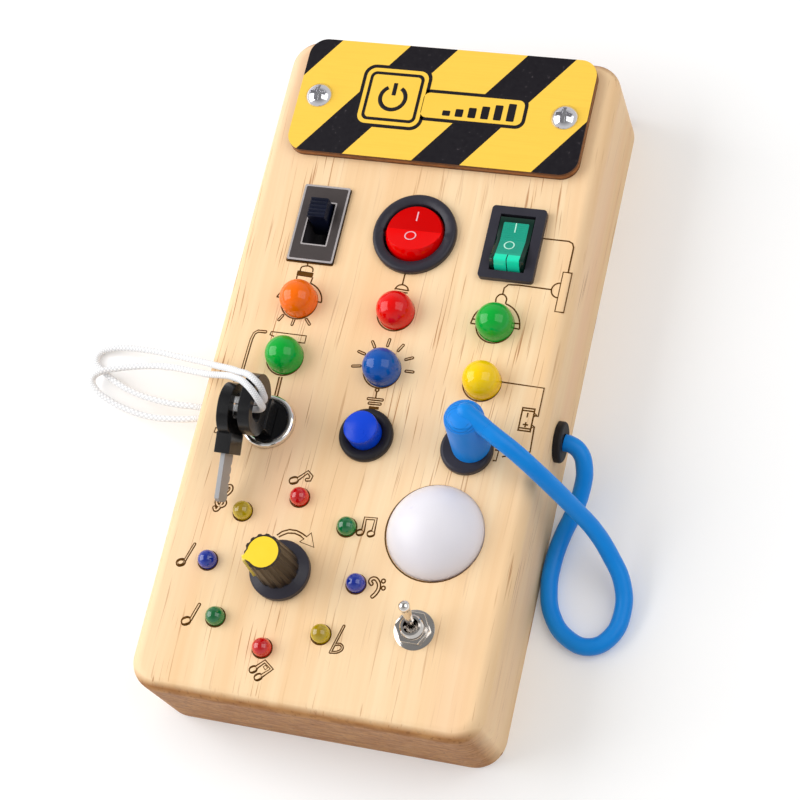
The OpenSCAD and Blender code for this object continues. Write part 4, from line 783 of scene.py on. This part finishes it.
bare = strokes([(max(0.15, width - 2 * RIM_W), points, "round", *rest) for width, points, *rest in OUTLINED],
               shift(0, 0, TOP + 0.05))
show(bare, PINE, "bare_wood_in_symbols", "board", slot="body_wood")

# ---------- switches ----------

# Rocker caps: height of the hinge, of the ridge above it, and the tilt in degrees
HINGE_Z, RIDGE, ROCK = TOP - 1, 3.0, 10
# Ends of the rectangular cap's upper face along the board
CAP_FRONT, CAP_BACK = 33.6, 43.4
# The slide switch's plate and its window
SLIDE_W, SLIDE_L, WINDOW_W, WINDOW_L = 13.1, 22.6, 6.8, 12.4


def framed(width, length, hole_w, hole_l, radius, hole_radius, place, thick):
    """A rectangular sheet with a rectangular window, centred on place."""
    return sheet([rounded(-width / 2, -length / 2, width / 2, length / 2, radius),
                  rounded(-hole_w / 2, -hole_l / 2, hole_w / 2, hole_l / 2, hole_radius)], place, thick)


slide_rim = framed(SLIDE_W, SLIDE_L, WINDOW_W, WINDOW_L, 0.5, 0.3, shift(COL_LEFT, SWITCH_Y, TOP + 0.5), 1)
slide_face = framed(SLIDE_W - 1.1, SLIDE_L - 1.1, WINDOW_W + 0.8, WINDOW_L + 0.8, 0.4, 0.3,
                    shift(COL_LEFT, SWITCH_Y, TOP + 1.02), 0.06)
paint_piece(slide_rim, RIM_PAINTED_HIGHLIGHT, BLACK)
soften(slide_rim, 0)
# The rim's top is painted pale as a highlight and its walls black as painted shade
for face in slide_rim.data.polygons:
    face.material_index = 0 if face.normal.z > 0.5 else 1
finish_piece(slide_rim, "slide_plate_rim", "board", stands_for=("slide_plate",))
show(slide_face, DARK_CHROME, "slide_plate_face", "board", slot="dark_chrome")
dress_all(("slide_housing", BLACK, 0), ("slide_thumb", NAVY, 0.12),
          ("round_rocker_housing", INK_BLUE_BLACK, 0))


def widened(piece, x, y, inner, outer, share):
    """Moves the corners that lie between two radii about a place away from it by a share."""
    for corner in piece.data.vertices:
        offset = Vector((corner.co.x - x * 0.001, corner.co.y - y * 0.001))
        if inner * 0.001 <= offset.length <= outer * 0.001:
            corner.co.x += offset.x * share
            corner.co.y += offset.y * share


widened(bpy.data.objects["round_rocker_housing_skin"], COL_MID, SWITCH_Y, 7.9, 8.3, 0.06)
# Red cap, its upper slope painted darker as painted shade, widened to fill its bezel closely
cap = merged_copy("round_rocker_cap")
paint_piece(cap, RED_CAP, RED_PAINTED_SHADE)
flatten(cap)
widened(cap, COL_MID, SWITCH_Y, 5, 9, 0.055)
soften(cap, 0.3, 3)
for face in cap.data.polygons:
    if face.center.y * 1000 > SWITCH_Y + 0.2:
        face.material_index = 1
finish_piece(cap, "round_rocker_cap_skin", "round_rocker", stands_for=("round_rocker_cap",))
dressed("rect_rocker_housing", INK_BLUE_BLACK, 0.4, 3)


def cap_place(x, upper):
    """Plane of one slope of a rocker cap, its origin on the ridge and its Y axis up the board."""
    return shift(x, SWITCH_Y, HINGE_Z) @ tilt(-ROCK) @ shift(0, 0, RIDGE) @ tilt(ROCK if upper else -ROCK)


def cap_marks(name, x, body, line_y, ring_y, ring_r, slot, material):
    """The I and the O of a rocker cap."""
    line = strokes([(0.36, [(0, line_y - 1.35), (0, line_y + 1.35)])], cap_place(x, True) @ shift(0, 0, 0.03))
    ring = strokes([(0.36, arc(-0.5, ring_y, ring_r, 0, 360, 32), "closed")],
                   cap_place(x, False) @ shift(0, 0, 0.03))
    marks = join([line, ring])
    return show(marks, material, name, body, slot=slot)


cap_marks("round_rocker_marks", COL_MID, "round_rocker", 4.2, -2.0, 1.45, "red_plastic", MARK_WHITE)

# Green cap toned by face: dark on its sides, its back and down the middle of its parted front, paler on its
# two ribbed slopes, brightest on its front
cap = merged_copy("rect_rocker_cap")
paint_piece(cap, GREEN_SHELL, GREEN_TOP, GREEN_FRONT)
flatten(cap)
edit(cap)
side, seam = 3.45, 0.14
for x in (-side, -seam, seam, side):
    bpy.ops.mesh.select_all(action="SELECT")
    bpy.ops.mesh.bisect(plane_co=mm(COL_RIGHT + x, 0, 0), plane_no=(1, 0, 0))
for y in (CAP_FRONT, CAP_BACK):
    bpy.ops.mesh.select_all(action="SELECT")
    bpy.ops.mesh.bisect(plane_co=mm(0, y, 0), plane_no=(0, 1, 0))
leave_edit()
for face in cap.data.polygons:
    x = face.center.x * 1000 - COL_RIGHT
    inside = abs(x) < side
    if inside and face.normal.z > 0.8 and CAP_FRONT < face.center.y * 1000 < CAP_BACK:
        face.material_index = 1
    elif inside and abs(x) > seam and (face.normal.y < -0.3 or
                                       face.normal.z > 0.8 and face.center.y * 1000 < CAP_FRONT):
        face.material_index = 2
soften(cap, 0)
finish_piece(cap, "rect_rocker_cap_skin", "rect_rocker", stands_for=("rect_rocker_cap",))
rib_w, rib_pitch = 0.26, 0.6
ribs = []
for upper in (True, False):
    for count in range(9 if upper else 7):
        y = (0.4 + rib_pitch * count) * (1 if upper else -1)
        ribs.append(strokes([(rib_w, [(-3.35, y), (3.35, y)])], cap_place(COL_RIGHT, upper)))
ribs = join(ribs)
show(ribs, GREEN_TOP, "rect_rocker_ribs", "rect_rocker", slot="green_plastic")
cap_marks("rect_rocker_marks", COL_RIGHT, "rect_rocker", 3.9, -1.6, 1.3, "green_plastic", MARK_MINT)

# ---------- lamps ----------

for node, colour in (("lamp_orange", "orange"), ("lamp_red", "red"), ("lamps_green", "green"),
                     ("lamp_blue", "blue"), ("lamp_yellow", "yellow")):
    dressed(node, LAMP_MATERIALS[colour], 0)
for colour, material in RING_MATERIALS.items():
    dressed("ring_leds_" + colour, material, 0)
dressed("dome_lens", LENS_PAINTED_GLOW, 0)

# ---------- key lock and push button ----------

dress_all(("lock_barrel", CHROME, 0), ("lock_rotor", GLOSS_BLACK, 0.1), ("key_blade", KEY_STEEL, 0.05),
          ("key_head", GLOSS_BLACK, 0.7, 4), ("spare_key_blade", KEY_STEEL, 0.05),
          ("spare_key_head", GLOSS_BLACK, 0.7, 4), ("key_cord_knot", KNOT_WHITE, 0.2),
          ("button_body", BLACK, 0), ("button_cap", BUTTON_BLUE, 0.5, 3))

# ---------- jack, plug and knob ----------

dress_all(("jack_body", INK_BLUE_BLACK, 0), ("plug_pin", NICKEL, 0), ("cable_grommet", RUBBER, 0.1))

# The plug's boot: radius, height, lean in degrees, foot, and the height that it is cut off at
BOOT_R, BOOT_H, BOOT_LEAN = 5.2, 17.5, -12
BOOT_FOOT = (COL_RIGHT + 1.2, LOW_Y + 0.7, TOP)
BOOT_SEAT = TOP + 2.3


def moulded_boot():
    """Leaning boot whose top steps in with the mould's terraces."""
    profile = [(0, 0), (BOOT_R, 0), (BOOT_R, BOOT_H - 3.6)]
    radius, height = BOOT_R, BOOT_H - 3.6
    for inward, rise in ((0.1, 0.8), (0.2, 0.7), (0.35, 0.6), (0.5, 0.5), (0.6, 0.35), (0.7, 0.2)):
        profile.append((radius - inward, height + rise))
        profile.append((radius - inward - 0.12, height + rise + 0.02))
        radius -= inward + 0.12
        height += rise + 0.02
    profile.append((radius - 1.0, BOOT_H - 0.1))
    profile.append((0, BOOT_H))
    boot = turned(profile)
    put(boot, shift(*BOOT_FOOT) @ tilt(BOOT_LEAN))
    edit(boot)
    bpy.ops.mesh.bisect(plane_co=mm(0, 0, BOOT_SEAT), plane_no=(0, 0, 1), clear_inner=True, use_fill=True)
    leave_edit()
    return boot


def cable_sleeve():
    """Sleeve that the boot's plastic forms over the cable, running out on top in a round nose."""
    end, before = Vector(CABLE[-1]), Vector(CABLE[-2])
    sleeve = turned([(0, 0), (2.32, 0), (2.36, 1.5), (2.5, 4), (2.55, 6), (2.4, 7.2), (1.9, 8.2),
                     (1.1, 8.8), (0, 9)], 40)
    turn = (end - before).to_track_quat("Z", "Y").to_matrix().to_4x4()
    return put(sleeve, shift(*end) @ turn)


def terraced(name, base, step_shade):
    """Blue plastic with the mould's contour steps round the boot's top, 0.5 mm apart, each step drawn as a
    darker line of painted shade.
    """
    step, lean = 0.5, 0.21
    material, tree, shader = shade(name, Roughness=0.36, Specular_IOR_Level=0.25)
    at = axes(tree, add(tree, "TexCoord").outputs["Object"])
    level = times(tree, at["Z"], 1000 / step)
    level = calculate(tree, "ADD", level, times(tree, at["Y"], -1000 * lean / step))
    line = ramp(tree, calculate(tree, "PINGPONG", level, 0.5), 0.3, 0.45)
    up = facing(tree)["Z"]
    dome = times(tree, ramp(tree, up, 0.3, 0.4), ramp(tree, up, 0.93, 0.97, 1.0, 0.0))
    # The steps' lines are painted darker, as painted shade
    feed(shader, "Base Color", blend(tree, times(tree, line, dome), base, step_shade))
    return material


boot_shell, sleeve = moulded_boot(), cable_sleeve()
paint_piece(boot_shell, terraced("blue_pvc_boot", "#1088E6", "#0868BC"))
paint_piece(sleeve, BLUE_PVC)
boot = join([boot_shell, sleeve])
soften(boot, 0)
finish_piece(boot, "plug_boot", "plug", slot="cable_blue", stands_for=("plug_body",))

# Degrees that the knob rests past its CAD node, and the top of its flange
KNOB_TURN, FLANGE_TOP = 7, TOP + 3.85

knob, pointer = dressed("knob_body", GRIP, 0.15), dressed("knob_pointer", YELLOW, 0.12)
for piece in (knob, pointer):
    piece.data.transform(shift(*KNOB, 0) @ tilt(KNOB_TURN, "Z") @ shift(-KNOB[0], -KNOB[1], 0))
knob.data.materials.append(INK_BLUE_BLACK)
for face in knob.data.polygons:
    if face.center.z * 1000 < FLANGE_TOP:
        face.material_index = 1
# The pointer's walls are painted paler, as painted light through thin plastic
pointer.data.materials.append(YELLOW_PAINTED_LIGHT)
for face in pointer.data.polygons:
    if face.normal.z < 0.7:
        face.material_index = 1
# Raised rib down the grip under the pointer: its direction, its radius at foot and head, and its length
RIB_TURN, RIB_FOOT, RIB_HEAD, RIB_L = 204, 6.1, 5.1, 13.0
rib_lean = math.degrees(math.atan2(RIB_FOOT - RIB_HEAD, RIB_L))
rib = sheet([rounded(-0.8, 0.1, 0.8, RIB_L - 0.1, 0.2)],
            shift(*KNOB, TOP + 3.8) @ tilt(RIB_TURN, "Z") @ shift(RIB_FOOT, 0, 0) @ tilt(90, "Z")
            @ tilt(90 - rib_lean), 0.9)
# The rib is painted the paler yellow, as painted light through thin plastic
show(rib, YELLOW_PAINTED_LIGHT, "knob_pointer_rib", "knob", slot="knob_yellow")

# ---------- toggle ----------

TOGGLE_Z = TOP + 0.6
WASHER_R, WASHER_BORE = 5.25, 3.05


def threaded_bushing():
    """Bushing with a rolled thread above the washer, open for the lever."""
    low, high, pitch = 22.2, 34.4, 0.75
    bore, root, crest = 2.0, 2.72, 3.0
    profile = [(bore, low), (crest, low)]
    height = TOGGLE_Z
    while height < high - pitch:
        profile += [(crest, height), (root, height + pitch / 2)]
        height += pitch
    profile += [(2.9, high - 0.3), (2.6, high), (bore, high), (bore, low)]
    return put(turned(profile, 48), shift(*TOGGLE, 0))


bushing = threaded_bushing()
soften(bushing, 0)
show(bushing, NICKEL, "toggle_bushing_threaded", "board", slot="nickel", stands_for=("toggle_bushing",))
dressed("toggle_lever", NICKEL, 0)
dressed("toggle_nut", NICKEL, 0.15)
# Dished washer: its rim sits on the wood and its bore under the nut
washer = turned([(WASHER_BORE, TOP + 0.1), (WASHER_BORE, TOP + 0.6), (WASHER_R - 0.3, TOP + 0.2),
                 (WASHER_R, TOP + 0.12), (WASHER_R, TOP), (WASHER_R - 0.5, TOP),
                 (WASHER_BORE, TOP + 0.1)], 64)
put(washer, shift(*TOGGLE, 0))
soften(washer, 0)
show(washer, NICKEL, "toggle_washer_dished", "board", slot="nickel", stands_for=("toggle_washer",))

# ---------- inner pieces ----------

# The button's spring, given a mesh of its own
spring = dressed("button_spring", STEEL, 0)
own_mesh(spring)

HIDDEN = {"switch_terminals": STEEL, "lamp_board": BOARD_GREEN, "ring_board": BOARD_GREEN,
          "dome_board": BOARD_GREEN, "panel_nuts": NICKEL, "cord_anchor_knot": KNOT_WHITE,
          "rotary_switch": BLACK, "rotary_shaft": NICKEL, "rotary_nut": NICKEL, "toggle_body": RED_CAP,
          "battery_tray": BLACK,
          "battery_door": BLACK, "battery_cells": CELL, "battery_contacts": STEEL, "battery_wires": WIRE}
for node, material in HIDDEN.items():
    paint_piece(frame["nodes"][node], material)

# ---------- cords ----------


def cord_tube(name, route, radius):
    """A round tube on a smooth curve through the route, and the line that it follows."""
    piece = new_curve(name, dimensions="3D", bevel_depth=radius * 0.001, bevel_resolution=5, resolution_u=6,
                      use_fill_caps=True)
    spline = piece.data.splines.new("BEZIER")
    spline.bezier_points.add(len(route) - 1)
    for knot, point in zip(spline.bezier_points, route):
        knot.co = mm(*point)
        knot.handle_left_type = knot.handle_right_type = "AUTO"
    select_only(piece)
    bpy.context.view_layer.update()
    line = [knot.co.copy() for knot in spline.bezier_points[:1]]
    for near, far in zip(spline.bezier_points, spline.bezier_points[1:]):
        line += interpolate_bezier(near.co, near.handle_right, far.handle_left, far.co, 7)[1:]
    line = [tuple(point) for point in line]
    bpy.ops.object.convert(target="MESH")
    bpy.ops.object.shade_smooth_by_angle(angle=math.radians(50))
    return bpy.context.object, line


CABLE_R, CORD_R = 2.3, 0.9
cable, cable_line = cord_tube("patch_cable", CABLE, CABLE_R)
paint_piece(cable, BLUE_PVC)
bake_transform(cable)
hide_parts("blue_cable")
tuple(mm(*CABLE[0]))
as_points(cable_line)
for name, route, node, length in (("key_cord_left", CORD_A, "key_cord_a", 0.1703),
                                  ("key_cord_right", CORD_B, "key_cord_b", 0.1647)):
    strand, strand_line = cord_tube(name, route, CORD_R)
    paint_piece(strand, CORD_WHITE)
    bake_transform(strand)
    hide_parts(node)
    tuple(mm(*route[0]))
    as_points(strand_line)

# ---------- floor and light ----------

bpy.ops.mesh.primitive_plane_add(size=3, location=(0, 0, 0))
floor = bpy.context.object
floor.name = "floor"
ground, ground_tree, ground_shader = shade("white_paper", Base_Color=paint("#F6F6F6"), Roughness=0.95,
                                           Specular_IOR_Level=0.1)
# The paper is lifted to white for the camera and in reflections, and keeps the shadow
seen_by = add(ground_tree, "LightPath")
looked_at = calculate(ground_tree, "MAXIMUM", seen_by.outputs["Is Camera Ray"],
                      calculate(ground_tree, "MAXIMUM", seen_by.outputs["Is Glossy Ray"],
                                seen_by.outputs["Is Transmission Ray"]))
ground_shader.inputs["Emission Color"].default_value = (1, 1, 1, 1)
feed(ground_shader, "Emission Strength", times(ground_tree, looked_at, 0.1))
floor.data.materials.append(ground)

world = bpy.data.worlds.new("studio")
bpy.context.scene.world = world
world.use_nodes = True
room = world.node_tree
sky = room.nodes["Background"]
KEY_SIDE = Vector((-0.6, 0.35, 0.72)).normalized()
heading = add(room, "TexCoord").outputs["Generated"]
toward = add(room, "VectorMath", {0: heading, 1: KEY_SIDE}, operation="DOT_PRODUCT")
# For other rays the room is brightest high on the left
fill = ramp(room, toward.outputs["Value"], -0.4, 0.95, 0.12, 0.72)
# In mirrors the room is dark overhead and pale near the ground
overhead = axes(room, heading)["Z"]
mirrored = ramp(room, overhead, 0.4, 0.85, 0.7, 0.25)
in_mirror = add(room, "LightPath").outputs["Is Glossy Ray"]
feed(sky, "Strength", ramp(room, in_mirror, 0, 1, fill, mirrored))
sky.inputs["Color"].default_value = (1, 1, 1, 1)

# Metres from the board's middle to each light
LIGHT_AWAY = 0.9


def softbox(name, direction, width, height, power):
    """A rectangular light, in metres and watts, that faces the board."""
    light = bpy.data.lights.new(name, "AREA")
    light.shape = "RECTANGLE"
    light.size, light.size_y = width, height
    light.energy = power
    lamp = bpy.data.objects.new(name, light)
    lamp.location = Vector(direction).normalized() * LIGHT_AWAY
    lamp.rotation_euler = (-Vector(direction)).to_track_quat("-Z", "Y").to_euler()
    bpy.context.collection.objects.link(lamp)


# A large window on the left and a smaller one on the right
softbox("window_left", (-0.80, -0.08, 0.60), 0.8, 0.8, 6.0)
softbox("window_right", (0.63, 0.09, 0.77), 0.75, 0.75, 2.8)
bpy.context.scene.view_settings.view_transform = "Standard"
